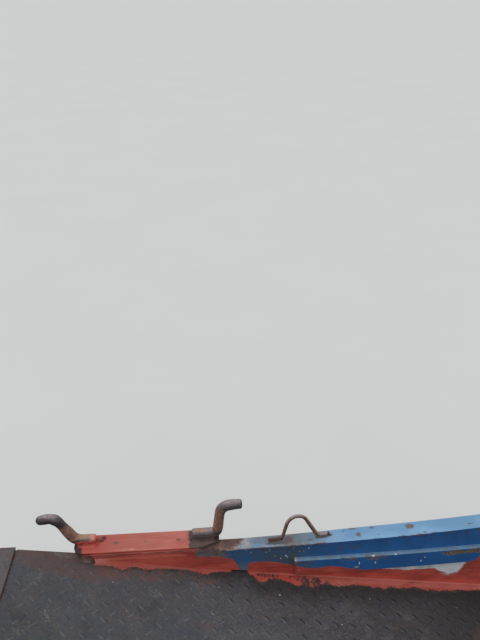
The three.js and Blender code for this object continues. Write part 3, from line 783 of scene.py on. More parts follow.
def horn_plate_paint(s, worn_edge=False):
    """The horn plate: salmon primer above, red edges, and burnt bare steel under the aft horn."""
    top = s.up.ramp(0.45, 0.8)
    upper = brushed_red(s, main=SALMON, deep=SALMON_DEEP, light=SALMON_LIGHT, shadow=SALMON_DEEP)
    s.coat = s.lay(brushed_red(s), upper, top)
    s.tint(RED_DEEP, s.station.ramp(-240, -350) * top * 0.6)
    low_face = (s.height + s.ragged(3)).ramp(824, 821) * 0.35
    fore_face = s.station.ramp(-335, -352) * s.most(1 - top, s.height.ramp(825, 823)) * 0.9
    s.stain(RED_SHADOW, s.most(low_face, fore_face), 0.8)

    place = s.station + s.ragged(16)
    bare = rust(s, dark=PATCH_DARK, main=PATCH_BROWN, bright=RUST_PURPLE)
    bare.colour = s.blend(s.noise(6, shift=2.7, along=6).ramp(0.38, 0.6) * 0.6, PATCH_DARK, bare.colour)
    bare.colour = s.blend((s.side + s.ragged(5)).ramp(1474, 1482) * 0.55, bare.colour, RUST_DARK)
    low_rim = s.height.ramp(828, 824) * place.ramp(-26, -38)
    bare_end = place.ramp(-68, -58)
    s.cover(bare, bare_end * (1 - low_rim), film=-0.3)
    s.stain(RUST_DARK, s.spots(PLATE_DARK_LINE) * top * 0.8)
    corner = s.station + s.ragged(8) + s.most(s.side - 1474, 0) * 0.7
    s.cover(rust(s, main=RUST_DARK, bright=PATCH_DARK), corner.ramp(-366, -374))
    aft_weld = s.height.ramp(831, 833) * s.station.ramp(-80, -70)
    s.cover(rust(s, main=PATCH_DARK, bright=PATCH_BROWN), aft_weld * 0.8)
    # Painted light: brighter red on the fillets by the fore foot, against the shade beside the bar.
    s.tint(FOOT_RED_WITH_PAINTED_LIGHT, s.height.ramp(830.6, 832) * s.station.ramp(-315, -325) * 0.3)

    stains = s.spots(PLATE_FORE_STAINS) * s.noise(4).ramp(0.4, 0.5)
    s.cover(rust(s, main=RUST_DARK), stains * 0.75)
    smudges = s.most(s.spots(PLATE_SMUDGES) * 0.85, s.spots(PLATE_FAINT_SMUDGE) * 0.35)
    s.stain(PATCH_BROWN, smudges * top, film=-0.8)
    s.stain(RED_SHADOW, s.spots(PLATE_SCORCH) * top * 0.7)
    s.cover(rust(s, main=RUST_DARK, bright=RUST_BROWN), s.spots(PLATE_GOUGE) * top * 0.8, film=-0.8)
    s.stain(SALMON_LIGHT, s.spots(PLATE_PALE_MARK) * 0.8 * top, 0.6)
    if worn_edge:
        worn = s.noise(18, detail=5, shift=2.1).ramp(0.56, 0.62) * s.level(bare_end, 0.2, 1)
        s.cover(rust(s), worn)


def deck_steel(s, plane_height=None):
    """Worn, dirty tread plate. plane_height is its top's level, or nothing on the sloping deck."""
    raised = s.height - (plane_height or DECK_Z_AT_0 - s.station * DECK_FALL)
    is_aft = (s.station + (s.side - 1300) * 1.2 + (s.noise(220, detail=3) - 0.5) * 260).ramp(-60, 330)
    s.coat = Coat(s.blend(is_aft, DECK_BLUISH, DECK_BROWN), 0.76)
    blotches = s.noise(64, detail=6, rough=0.7)
    s.tint(DECK_LIGHT, blotches.ramp(0.52, 0.74) * s.level(is_aft, 0.22, 0.4))
    s.tint(GRIME, blotches.ramp(0.48, 0.34) * s.level(is_aft, 0.5, 0.7))
    hue = s.noise(26, detail=6, shift=13.0, rough=0.72)
    s.tint(DECK_BLUE, hue.ramp(0.5, 0.62) * 0.5)
    s.tint(DECK_TAN, hue.ramp(0.47, 0.36) * 0.5)
    mottle = s.noise(10, detail=6, shift=2.5, rough=0.75)
    if plane_height:
        s.tint(FLAP_DUST, mottle.ramp(0.3, 0.6) * 0.3)
    s.tint(DECK_SMEAR, mottle.ramp(0.48, 0.66) * 0.7)
    s.tint(GRIME, mottle.ramp(0.46, 0.34) * 0.4)
    sandy = s.noise(75, detail=3, shift=17.0).ramp(0.56, 0.7)
    sandy = sandy * s.noise(6, detail=5, shift=4.9, rough=0.75).ramp(0.48, 0.64)
    s.tint(SAND, sandy * s.level(is_aft, 0.42, 0.25))
    fine = s.noise(6, detail=6, shift=21.0, rough=0.8)
    trodden = s.station.band(20, 400, 70) * s.side.ramp(1400, 1335)
    s.tint(DECK_LIGHT, fine.ramp(0.5, 0.68) * s.level(trodden, 0.22, 0.5))
    s.tint(GRIME, fine.ramp(0.5, 0.34) * 0.35)
    s.tint(DECK_LIGHT, trodden * 0.07)
    # Painted shade: near-black darkens the deck aft of station 500; by_bow darkens a strip by the bow
    # faintly.
    by_bow = s.station.ramp(-330, -480) * s.side.ramp(1330, 1280) * 0.14
    s.tint(NEAR_BLACK, s.most(s.station.ramp(500, 860) * 0.62, by_bow))
    reddish = s.noise(120, shift=11.0).ramp(0.56, 0.75)
    stain = s.most(s.spots(DECK_RUST_MARKS) * 0.6, reddish * 0.4)
    s.tint(DECK_RUST, stain * mottle.ramp(0.3, 0.5))
    s.tint(DECK_EDGE_LIGHT, s.spots(DECK_CORNER_WORN) * 0.75)
    # Painted light: a pale tan patch on the deck under the horn plate's fore corner, against the shade
    # there.
    s.tint(DECK_PAINTED_LIGHT_TAN, s.spots(DECK_CORNER_PAINTED_LIGHT) * 0.85)
    # Bar tops: paler where worn, with a painted highlight on their crowns.
    crown_highlight = raised.ramp(0.0, 0.9) * s.noise(38, shift=3.0).ramp(0.34, 0.66)
    s.tint(DECK_LIGHT, crown_highlight * s.level(is_aft, 0.3, 0.04))
    # Near-black on the low skirt along one side of each bar, much more so aft.
    dark_skirt = raised.band(0.07, 0.3, 0.04) * s.noise(26, detail=3, shift=5.2).ramp(0.32, 0.55)
    s.tint(NEAR_BLACK, dark_skirt * s.level(is_aft, 0.12, 0.95))
    s.coat.roughness = s.level(crown_highlight, 0.76, 0.64)
    s.coat.relief = s.noise(3.5) * 0.35

    from_edge = s.station.line(DECK_RED_EDGE) - s.side
    grime_reach = s.level(is_aft, 18, 96)
    grime = (from_edge + (s.noise(30, detail=5, shift=1.9) - 0.5) * 70).ramp(grime_reach, 0)
    grime = grime * s.level(mottle.ramp(0.56, 0.44), 0.62, 0.95)
    s.stain(GRIME, grime * s.station.ramp(-330, -230))
    browned = (from_edge + s.ragged(20)).band(0, 34, 14) * s.noise(17, shift=6.6).ramp(0.42, 0.6)
    s.stain(DECK_RUST, browned * is_aft.ramp(0.8, 0.2) * 0.8)
    fringe = (from_edge + s.ragged(16)).ramp(10, 1) * s.noise(21, shift=9.4).ramp(0.36, 0.56)
    s.stain(FRINGE, fringe * 0.75)
    grains = s.most(s.specks(15, 0.09, 0.1, shift=8.0) * 0.6, s.specks(64, 0.14, 0.06, shift=2.0) * 0.75)
    s.stain(SPECK_WHITE, grains, 0.7)
    if plane_height is None:
        poking = s.station.band(108, 236, 10) * raised.ramp(0.1, 0.6) * s.up.ramp(0.999, 0.96)
        margin = brushed_red(s, main=MARGIN_RED, deep=RED_DEEP, light=SALMON_DEEP)
        margin.colour = s.blend(s.station.ramp(30, -90) * 0.6, margin.colour, MARGIN_RED_DARK)
        # Painted highlight: a salmon band on the deck along the lining's foot.
        seam_highlight = (s.side + s.ragged(5)).ramp(1429, 1434) * s.station.ramp(360, 420)
        seam_highlight = seam_highlight * s.noise(18, shift=3.9, along=3).ramp(0.36, 0.54)
        margin.colour = s.blend(seam_highlight * 0.9, margin.colour, SALMON)
        s.cover(margin, red_on_deck(s) * (1 - poking * 0.85), film=0.35)
    s.cover(rust(s, dark=DECK_SMEAR, main=SEAM_DIRT, bright=PATCH_BROWN), s.up.ramp(0.35, 0.1))
    scraped = s.noise(5, shift=3.8, along=12).ramp(0.53, 0.6) * s.station.ramp(-860, -1040)
    s.cover(s.lay(primer(s), rust(s, bright=STEEL_GREY), scraped), s.up.ramp(-0.5, -0.8))


def seam_grit(s):
    """Grit and old grease packed into a gap."""
    lumps = s.noise(5)
    # Painted light: the grit is paler inboard, against the shade in the gap.
    pale = s.blend(s.side.ramp(1400, 1180), SEAM_DIRT, SEAM_PAINTED_LIGHT)
    s.coat = Coat(s.blend(lumps.ramp(0.35, 0.6), DECK_SMEAR, pale), 0.9, lumps * 1.2)


def horn_rust_and_light(s):
    """Old mooring bars: a painted highlight on their crowns and painted shade below, ochre on the risers,
    painted feet.
    """
    scale = s.noise(11, detail=5, rough=0.6)
    fine = s.noise(5, detail=5, shift=3.0, rough=0.68)
    is_fore = s.station.ramp(-180, -220)
    colour = s.blend(scale.ramp(0.38, 0.62), HORN_DARK, HORN_GREY)
    s.coat = Coat(colour, s.level(scale, 0.55, 0.8), fine * 0.9 + scale * 0.9)
    on_riser = s.height + s.ragged(16)
    riser = on_riser.ramp(858, 872) * (on_riser + is_fore * 38).ramp(958, 934)
    ochre = s.noise(8, detail=5, shift=7.0, rough=0.7).ramp(0.4, 0.6)
    s.tint(s.blend(ochre, RISER_BROWN, RISER_TAN), riser * 0.92)
    s.tint(RUST_DARK, fine.ramp(0.55, 0.66) * 0.6)
    # Painted highlight: pale colour on the up-facing crowns.
    crown_highlight = s.up.ramp(0.76, 0.97) * s.level(scale.ramp(0.4, 0.55), 0.5, 0.95)
    s.tint(HORN_HIGHLIGHT, crown_highlight * (1 - riser))
    # Painted shade: darker below the crowns and on the undersides.
    s.tint(HORN_SHADOW, s.up.ramp(0.8, 0.25) * (1 - riser * 0.85) * s.level(is_fore, 0.65, 0.85))
    s.tint(HORN_SHADOW, s.up.ramp(0.1, -0.4) * 0.6)
    s.tint(HORN_SHADOW, s.station.ramp(-448, -482) * s.up.ramp(0.97, 0.8) * 0.6)
    s.tint(HORN_SHADOW, s.station.ramp(93, 96) * s.height.ramp(870, 880) * 0.6)

    on_foot = s.height.ramp(872, 862)
    s.stain(FOOT_BROWN, (s.height + s.ragged(3)).ramp(853, 850) * on_foot * (1 - is_fore))
    # Tan on the feet's tops: their own colour, with a painted highlight where they face up.
    aft_crown = s.station.band(-48, -14, 10) * s.height.ramp(857, 860) * on_foot
    s.stain(HORN_TAN_AND_HIGHLIGHT, aft_crown * fine.ramp(0.6, 0.45) * 0.75, 0.8)
    fore_crown = s.station.band(-402, -346, 8) * s.height.ramp(855.5, 859) * on_foot
    s.stain(HORN_TAN_AND_HIGHLIGHT, fore_crown * s.level(fine.ramp(0.6, 0.48), 0.5, 0.9), 0.8)
    pink = (s.station + s.ragged(14)).ramp(-354, -342) * is_fore * on_foot
    s.stain(SALMON_LIGHT, pink * s.height.ramp(850, 855), 0.7)
    # Red brushed over the fore foot's lower side, made brighter as painted light against the shade under
    # the bar.
    red = (s.height + s.ragged(5)).ramp(853.5, 850.5) * is_fore * s.station.ramp(-404, -390)
    red = red * s.level(s.noise(9, shift=7.7).ramp(0.4, 0.6), 0.5, 0.95)
    s.cover(brushed_red(s, main=FOOT_RED_WITH_PAINTED_LIGHT, deep=FOOT_DEEP_RED_WITH_PAINTED_LIGHT), red)


def hoop_rust_and_light(s):
    """The rope hoops: ochre-brown bars with a painted highlight on the crown and painted shade below, a
    dark fore foot and a worn grey aft foot.
    """
    fine = s.noise(5, rough=0.65)
    s.coat = Coat(s.blend(fine.ramp(0.4, 0.6), HOOP_BROWN, HOOP_TAN), 0.82, fine * 0.6)
    # Painted highlight on the crown and painted shade lower down, by how much each part faces up.
    lit = s.up + (s.height + s.ragged(10)).band(838, 896, 12) * 0.36
    s.tint(HOOP_DARK_AND_SHADE, s.noise(9, shift=4.0).ramp(0.54, 0.68) * 0.5)
    s.tint(HOOP_PALE_AND_HIGHLIGHT, lit.ramp(0.6, 0.82) * 0.88)
    s.tint(HOOP_DARK_AND_SHADE, lit.ramp(0.62, 0.3) * 0.85)
    ochre = s.height.band(838, 856, 10) * s.station.ramp(280, 300)
    s.tint(RUST_ORANGE, ochre * fine.ramp(0.35, 0.55) * 0.6)
    on_foot = s.height.ramp(836, 833)
    s.tint(HOOP_FOOT_DARK, on_foot * s.station.ramp(226, 216))
    s.tint(HOOP_PALE_AND_HIGHLIGHT, on_foot * s.station.band(326, 348, 5) * 0.9)
    s.tint(RUST_DARK, s.station.ramp(349, 353))
    # Painted shade on the undersides.
    s.tint(RUST_DARK, s.up.ramp(0.2, -0.4) * 0.5)


def bar_rust_and_light(s):
    s.coat = rust(s)
    # Painted highlight on up-facing parts, painted shade on the undersides.
    s.tint(HORN_HIGHLIGHT, s.up.ramp(0.4, 0.95) * 0.45)
    s.stain(RUST_DARK, s.up.ramp(0.2, -0.5) * 0.6, 0.9)


def weathered_strap(s):
    """Hinge straps: worn blue paint over rust, rubbed bare on their raised parts."""
    s.coat = rust(s)
    s.cover(dark_blue(s), s.noise(26, detail=5, shift=3.7, rough=0.65).ramp(0.56, 0.5) * 0.85, film=0.3)
    bright = s.height.ramp(838, 848) * s.noise(20).ramp(0.4, 0.6)
    s.cover(Coat(STEEL_GREY, 0.38, metal=0.7), bright * 0.8)


def pin_steel(s):
    s.coat = Coat(STEEL_GREY, 0.42, s.noise(4, detail=3) * 0.15, metal=0.8)
    s.stain(GRIME, s.noise(18).ramp(0.45, 0.6), 0.35)
    s.cover(rust(s), s.noise(13, shift=6.0).ramp(0.5, 0.58))


def bare_primer(s):
    """Plates of the block's open end: red shop primer, burnt along the welds, with cut edges rusting."""
    s.coat = primer(s)
    s.cover(rust(s), s.noise(16, shift=2.8, tall=9).ramp(0.56, 0.68) * 0.7)
    s.cover(rust(s, main=RUST_ORANGE), s.station.ramp(AFT - 3, AFT - 0.5) * 0.8)


def hull_paint(s):
    """Outside plating: white topsides, blue below the strake, red bottom paint under the waterline."""
    s.coat = s.lay(dark_blue(s), white(s), s.height.ramp(STRAKE_Z + 10, STRAKE_Z + 16))
    bottom = s.blend(s.noise(90, detail=5).ramp(0.35, 0.65), ANTIFOULING, PRIMER)
    bottom = Coat(bottom, 0.82, s.noise(5) * 0.3)
    s.cover(bottom, (s.height + s.ragged(3)).ramp(WATERLINE, WATERLINE - 1.5), film=0.2)
    scum = (s.height + s.ragged(30)).band(WATERLINE - 90, WATERLINE + 18, 26)
    weed = s.noise(12, detail=5, shift=4.2, tall=2.5).ramp(0.42, 0.62)
    s.cover(Coat(SCUM, 0.9, s.noise(4, detail=3) * 0.4), scum * weed * 0.8)
    below_strake = s.height.ramp(470, 600) * s.height.ramp(604, 600)
    weeping = s.noise(13, shift=9.0, tall=12).ramp(0.57, 0.76)
    weeping = weeping * s.most(below_strake, s.height.ramp(700, 800))
    s.cover(rust(s), weeping * s.noise(150, detail=3, shift=6.2).ramp(0.4, 0.6) * 0.75)
    scrapes = s.noise(4, shift=5.0, rough=0.7, along=26).ramp(0.6, 0.66)
    scrapes = scrapes * s.noise(160, detail=3).ramp(0.45, 0.6)
    s.cover(rust(s, bright=STEEL_GREY), scrapes, film=-0.2)
    s.cover(rust(s), s.noise(16, detail=5, shift=7.7, rough=0.72).ramp(0.66, 0.69), film=-0.3)
    between_frames = s.math("PINGPONG", s.station + 180, 200).ramp(20, 180)
    s.coat.relief = s.coat.relief + between_frames * s.height.band(90, 560, 60) * -2.2


def strake_paint(s):
    s.coat = dark_blue(s)
    proud = s.side.ramp(SHELL_OUTER + STRAKE_RADIUS * 0.72, SHELL_OUTER + STRAKE_RADIUS)
    rubbed = (s.noise(10, detail=5, shift=1.4, along=8) + proud * 0.16).ramp(0.58, 0.64)
    s.cover(rust(s, bright=STEEL_GREY), rubbed, film=-0.3)
    bright = s.noise(5, detail=3, shift=6.1, along=20).ramp(0.56, 0.62) * proud
    s.cover(Coat(STEEL_GREY, 0.4, metal=0.7), bright * rubbed)


def nose_paint(s):
    """The nose plate, where the flap drops back: blue, scraped down to rust around the stop pads."""
    s.coat = dark_blue(s)
    worn = s.noise(24, detail=5, shift=5.3, rough=0.65, tall=2) + s.height.ramp(735, 760) * 0.08
    s.cover(rust(s), worn.ramp(0.61, 0.65), film=-0.3)
    s.cover(rust(s), s.noise(11, shift=2.0, tall=10).ramp(0.56, 0.7) * 0.5)


def toe_steel(s):
    """The flap's toe bar, ground bright on its underside by the slipway."""
    s.coat = rust(s)
    ground = s.up.ramp(0.1, -0.6) * s.noise(9, across=6).ramp(0.35, 0.55)
    s.cover(Coat(STEEL_GREY, 0.36, metal=0.8), ground)


def floor_finish(s):
    s.coat = Coat(s.blend(s.noise(900, detail=3), srgb(206, 205, 201), srgb(212, 211, 208)), 0.85)


# Meshes

def new_object(name, data):
    made = bpy.data.objects.new(name, data)
    bpy.context.scene.collection.objects.link(made)
    return made


class Shape:
    """Closed forms gathered into one mesh. Points are given in millimetres."""

    def __init__(self):
        self.points = []
        self.faces = []

    def add(self, points, faces):
        first = len(self.points)
        self.points.extend(points)
        self.faces.extend([first + i for i in face] for face in faces)

    def piece(self, name, material, body, slot, smooth_angle=None):
        data = bpy.data.meshes.new(name)
        data.from_pydata([at(*point) for point in self.points], [], self.faces)
        data.materials.append(material)
        if smooth_angle is not None:
            data.shade_smooth()
            data.set_sharp_from_angle(angle=math.radians(smooth_angle))
        made = new_object(name, data)
        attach(made, body)
        return made


def ring_faces(starts, size, first, last):
    """The faces of a closed form: rings of points, with one point before them and one after."""
    faces = []
    for k in range(size):
        after = (k + 1) % size
        faces.append((first, starts[0] + after, starts[0] + k))
        for low, high in zip(starts, starts[1:]):
            faces.append((low + k, low + after, high + after, high + k))
        faces.append((last, starts[-1] + k, starts[-1] + after))
    return faces


def domed(path, radii, round_ends, steps=4):
    """A path and its radii with a dome added at each end, of those heights in radii."""
    start, finish = path[0], path[-1]
    back = (start - path[1]).normalized() * radii[0] * round_ends[0]
    on = (finish - path[-2]).normalized() * radii[-1] * round_ends[1]
    turns = [math.pi / 2 * i / steps for i in range(1, steps)]
    head = [start + back * math.sin(a) for a in reversed(turns)]
    tail = [finish + on * math.sin(a) for a in turns]
    head_radii = [radii[0] * math.cos(a) for a in reversed(turns)]
    tail_radii = [radii[-1] * math.cos(a) for a in turns]
    path = [start + back] + head + path + tail + [finish + on]
    return path, [0] + head_radii + radii + tail_radii + [0]


def swept(shape, path, radii, sides, round_ends=None):
    """A closed bar along a path, with a radius at each point. round_ends gives each end a dome."""
    path = [Vector(point) for point in path]
    if round_ends:
        path, radii = domed(path, radii, round_ends)
    else:
        path = [path[0] - (path[1] - path[0]) * 0.3] + path + [path[-1] + (path[-1] - path[-2]) * 0.3]
        radii = [0] + radii + [0]
    span = [max(abs(p[i] - q[i]) for p in path for q in (path[0], path[-1])) for i in range(3)]
    narrowest = span.index(min(span))
    across = Vector([1.0 if i == narrowest else 0.0 for i in range(3)])
    run = path[-1] - path[0]
    if run.length and abs(run.normalized().dot(across)) > 0.9:
        across = Vector((0, 0, 1))
    rings = []
    points = [path[0]]
    for i in range(1, len(path) - 1):
        ahead = (path[i + 1] - path[i - 1]).normalized()
        side = ahead.cross(across).normalized()
        top = side.cross(ahead)
        rings.append(len(points))
        for k in range(sides):
            turn = 2 * math.pi * k / sides
            points.append(path[i] + (side * math.cos(turn) + top * math.sin(turn)) * radii[i])
    points.append(path[-1])
    shape.add(points, ring_faces(rings, sides, 0, len(points) - 1))


def resampled(path, pitch):
    """Points at even steps along a broken line."""
    path = [Vector(point) for point in path]
    lengths = [(b - a).length for a, b in zip(path, path[1:])]
    total = sum(lengths)
    count = max(2, round(total / pitch))
    made = []
    leg = 0
    passed = 0.0
    for i in range(count + 1):
        want = total * i / count
        while leg < len(lengths) - 1 and want > passed + lengths[leg]:
            passed += lengths[leg]
            leg += 1
        share = (want - passed) / lengths[leg]
        made.append(path[leg].lerp(path[leg + 1], min(1, share)))
    return made


def bead(shape, path, radius, pitch=6.0):
    """A weld bead: a run of overlapping ripples, slightly uneven, along a broken line."""
    points = resampled(path, pitch / 2)
    radii = []
    shake = 0.06 * radius
    for i, point in enumerate(points):
        ripple = 1.0 if i % 2 else 0.84
        radii.append(radius * ripple * random.uniform(0.93, 1.08))
        point += Vector([random.uniform(-shake, shake) for _ in range(3)])
    swept(shape, points, radii, 6)


def fillet(shape, from_x, to_x, y, outward, pitch=3.0):
    """Weld metal filling the corner between a round bar's foot and the plate it lies on."""
    count = round(abs(to_x - from_x) / pitch)
    rings = []
    points = []
    for i in range(count + 1):
        x = from_x + (to_x - from_x) * i / count
        ends = min(1, 0.55 + 0.2 * min(i, count - i))
        swell = ends * random.uniform(0.93, 1.04)
        rings.append(len(points))
        for offset, z in FILLET_SECTION:
            over = FILLET_ROOT + (offset - FILLET_ROOT) * swell
            points.append((x, y + outward * over, FILLET_FOOT_Z + (z - FILLET_FOOT_Z) * swell))
    size = len(FILLET_SECTION)
    faces = [tuple(range(size)), tuple(reversed([rings[-1] + k for k in range(size)]))]
    for low, high in zip(rings, rings[1:]):
        faces.extend((low + k, high + k, high + (k + 1) % size, low + (k + 1) % size) for k in range(size))
    if (outward > 0) == (to_x > from_x):
        faces = [tuple(reversed(face)) for face in faces]
    shape.add(points, faces)


def bent_path(corners, y, steps=8, run_pitch=5.0):
    """The centre line of a bar bent in the plane y. Each corner is (x, z, bend)."""
    places = [Vector((x, y, z)) for x, z, _ in corners]
    points = []
    for i, (here, (_, _, bend)) in enumerate(zip(places, corners)):
        if not bend:
            points.append(here)
            continue
        enter = here + (places[i - 1] - here).normalized() * bend
        leave = here + (places[i + 1] - here).normalized() * bend
        for k in range(steps + 1):
            t = k / steps
            points.append(enter * (1 - t) ** 2 + here * 2 * t * (1 - t) + leave * t ** 2)
    return resampled(points, run_pitch)


def between(points, x):
    """The value at x on a broken line of (x, value) points."""
    for (x0, value0), (x1, value1) in zip(points, points[1:]):
        if x < x1:
            return value0 + (value1 - value0) * max(0, x - x0) / (x1 - x0)
    return points[-1][1]


def uneven(path, radius, amount, size, seed, form):
    """A forged bar's radii: a little rough, and swelling and shrinking with distance from its tip."""
    radii = []
    from_tip = 0.0
    last = path[-1]
    for i in reversed(range(len(path))):
        from_tip += (last - path[i]).length
        last = path[i]
        rough = 1 - amount + amount * noise.noise(Vector((i * 5 / size, seed, 0)))
        radii.append(radius * rough * between(form, from_tip))
    return radii[::-1]


def shortened(path, from_start, from_end):
    """A path cut back at both ends, to leave room for its domes."""
    while (path[1] - path[0]).length < from_start:
        from_start -= (path[1] - path[0]).length
        path = path[1:]
    while (path[-1] - path[-2]).length < from_end:
        from_end -= (path[-1] - path[-2]).length
        path = path[:-1]
    first = path[0] + (path[1] - path[0]).normalized() * from_start
    last = path[-1] + (path[-2] - path[-1]).normalized() * from_end
    return [first] + path[1:-1] + [last]


def mooring_bar(kind, name, material, path, radius, roughness, form, ends, sides):
    """One bent bar in place of the frame's plain one. ends gives, in radii, how much is cut off at
    each end of the path and how high the dome there is."""
    (cut_start, dome_start), (cut_end, dome_end) = ends
    path = shortened(path, radius * cut_start, radius * cut_end)
    shape = Shape()
    swept(shape, path, uneven(path, radius, *roughness, form), sides, (dome_start, dome_end))
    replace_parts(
        shape.piece(f"bar_{kind}_{name}", material, "bow", "rusty_steel", smooth_angle=50),
        f"{kind}_{name}",
    )


def mooring_bars():
    horn_finish_with_light = painted("horn_rust_and_light", horn_rust_and_light)
    hoop_finish_with_light = painted("hoop_rust_and_light", hoop_rust_and_light)
    hoop = (
        (172, rail_top(172) + HOOP_FOOT, 0), (214, rail_top(214) + HOOP_FOOT, 10),
        (231, RAIL_Z + 86, 24), (272, RAIL_Z + 98, 26),
        (320, rail_top(320) + HOOP_FOOT, 14), (358, rail_top(358) + HOOP_FOOT, 0),
    )
    for name, side in SIDES.items():
        for kind, corners, form, seed, dome in (
            ("fore_horn", FORE_HORN, FORE_HORN_FORM, 2.7, 1.0),
            ("aft_horn", AFT_HORN, AFT_HORN_FORM, 8.1, 0.35),
        ):
            path = bent_path(corners, side * HORN_Y)
            ends = ((0.45, 0.5), (form[0][1] * dome, dome))
            mooring_bar(kind, name, horn_finish_with_light, path, HORN_RADIUS, (0.03, 18, seed + side), form, ends, 32)
        path = bent_path(hoop, side * HOOP_Y, run_pitch=4.0)
        for point in path:
            point.y = side * hoop_y(point.x)
        ends = ((0.25, 0.25), (0.25, 0.25))
        roughness = (0.04, 12, 5.5 + side)
        mooring_bar("rope_hoop", name, hoop_finish_with_light, path, HOOP_RADIUS, roughness, HOOP_FORM, ends, 16)


def bar_mesh(height, skirt_side, skirt_width):
    """One raised bar, a lens with a rounded top and a low dark skirt along one side."""
    half = BAR_LENGTH / 2
    points = [(-half, 0, -BAR_SUNK)]
    for place, share in BAR_SECTIONS:
        foot = BAR_WIDTH / 2 * share
        section = [(-foot, -BAR_SUNK)]
        section += [(foot * over, height * up * (0.5 + share / 2)) for over, up in BAR_TOP]
        section += [(foot, SKIRT_TOP), (foot + skirt_width * share, SKIRT_TOP * 0.6)]
        section += [(foot + skirt_width * share, -BAR_SUNK)]
        points.extend((half * place, over * skirt_side, up) for over, up in section)
    points.append((half, 0, -BAR_SUNK))
    around = len(BAR_TOP) + 4
    faces = []
    starts = [1 + around * i for i in range(len(BAR_SECTIONS))]
    last = len(points) - 1
    for k in range(around):
        after = (k + 1) % around
        faces.append((0, starts[0] + k, starts[0] + after))
        for low, high in zip(starts, starts[1:]):
            faces.append((low + k, high + k, high + after, low + after))
        faces.append((last, starts[-1] + after, starts[-1] + k))
    if skirt_side < 0:
        faces = [tuple(reversed(face)) for face in faces]
    return points, faces


def tread(name, material, body, area, surface_point, allowed, wear, outboard=1, drift=0.0):
    """Raised bars all over a plate, leaning alternately each way. Rows drift inboard going aft."""
    fore, aft, inner, outer = area
    shape = Shape()
    whole_drift = drift * (aft - fore)
    low = inner + min(0, whole_drift)
    rows = math.ceil((outer + max(0, whole_drift) - low) / BAR_ROW)
    columns = math.ceil((aft - fore) / BAR_PITCH) + 1
    for row in range(rows):
        leans = row % 2
        turn = (-BAR_TURN if leans else BAR_TURN) * outboard
        skirt_width = SKIRT_WIDE if leans else SKIRT_NARROW
        for column in range(columns):
            x = fore + BAR_PITCH * column + (BAR_PITCH / 2 if leans else 0)
            y = low + BAR_ROW * (row + 0.5) - drift * (x - fore)
            if not inner <= y <= outer or not allowed(x, y):
                continue
            lean = turn - drift + random.uniform(-0.03, 0.03)
            height = BAR_HEIGHT * wear(x, y) * random.uniform(0.7, 1.0)
            points, faces = bar_mesh(height, outboard, skirt_width)
            placed = []
            for along, over, up in points:
                dx = along * math.cos(lean) - over * math.sin(lean)
                dy = along * math.sin(lean) + over * math.cos(lean)
                placed.append(surface_point(x + dx, y + dy, up))
            shape.add(placed, faces)
    shape.piece(name, material, body, "tread_plate", smooth_angle=70)


def on_deck(x, y, up):
    return (x + up * math.sin(DECK_ANGLE), y, deck_top(x) + up * math.cos(DECK_ANGLE))


def on_flap(x, y, up):
    return (x, y, FLAP_TOP + up)


def from_hinge(y):
    return min(abs(y - hinge) for hinge in HINGE_STATIONS_Y)


def deck_bar_allowed(x, y):
    outer = SHELL_OUTER if x < RAIL_START - 20 else LINING_FACE
    if not BARE_MARGIN <= abs(y) <= outer - BARE_MARGIN:
        return False
    if not BOW + BARE_MARGIN + 3 <= x <= AFT - BARE_MARGIN - 3:
        return False
    return from_hinge(y) > HINGE_NOTCH_HALF_WIDTH + 12 or x > BOW + LEAF_LENGTH + BARE_MARGIN


def flap_bar_allowed(x, y):
    if not FLAP_FORE + BARE_MARGIN <= x <= FLAP_AFT - BARE_MARGIN:
        return False
    if abs(y) > FLAP_HALF_WIDTH - BARE_MARGIN:
        return False
    near_hinge = from_hinge(y)
    if x > HINGE_X - HINGE_NOTCH_REACH - 16 and near_hinge < HINGE_NOTCH_HALF_WIDTH + BARE_MARGIN:
        return False
    return x < HINGE_X - LEAF_LENGTH - BARE_MARGIN or near_hinge > FLAP_LEAF_HALF_WIDTH + BARE_MARGIN


def deck_wear(x, y):
    """How much of a bar's height is left: less where people step on and off by the rail."""
    patches = 0.82 + 0.3 * noise.noise(Vector((x / 240, y / 240, 0)))
    trodden = max(0, 1 - math.hypot((x + 420) / 320, (abs(y) - 1450) / 170))
    return max(0.25, min(1, patches - 0.6 * trodden))


def flap_wear(x, y):
    patches = 0.7 + 0.3 * noise.noise(Vector((x / 200, y / 200, 4)))
    rim = max(0, 1 - (FLAP_HALF_WIDTH - abs(y)) / 140)
    return max(0.25, min(1, patches - 0.5 * rim))


def tread_plates(deck_material, flap_material):
    for name, side in SIDES.items():
        reach = LINING_FACE + 36
        inner, outer = (0, reach) if side > 0 else (-reach, 0)
        tread(
            f"tread_bars_deck_{name}", deck_material, "bow", (BOW, AFT, inner, outer),
            on_deck, deck_bar_allowed, deck_wear, outboard=side, drift=side * ROW_DRIFT,
        )
    tread(
        "tread_bars_flap", flap_material, "landing_flap",
        (FLAP_FORE, FLAP_AFT, -FLAP_HALF_WIDTH, FLAP_HALF_WIDTH),
        on_flap, flap_bar_allowed, flap_wear,
    )


def fore_and_aft(fore, aft, y, height, steps=12):
    """Points along a fore-and-aft edge whose height is worked out for each station."""
    stations = [fore + (aft - fore) * i / steps for i in range(steps + 1)]
    return [(x, y, height(x)) for x in stations]


def welds(name, material, slot, runs, body="bow", shape=None):
    """Weld beads as one piece. Each run is its points, its radius and, if need be, its pitch."""
    shape = shape or Shape()
    for points, radius, *pitch in runs:
        bead(shape, points, radius, *pitch)
    shape.piece(name, material, body, slot, smooth_angle=WELD_SMOOTH)


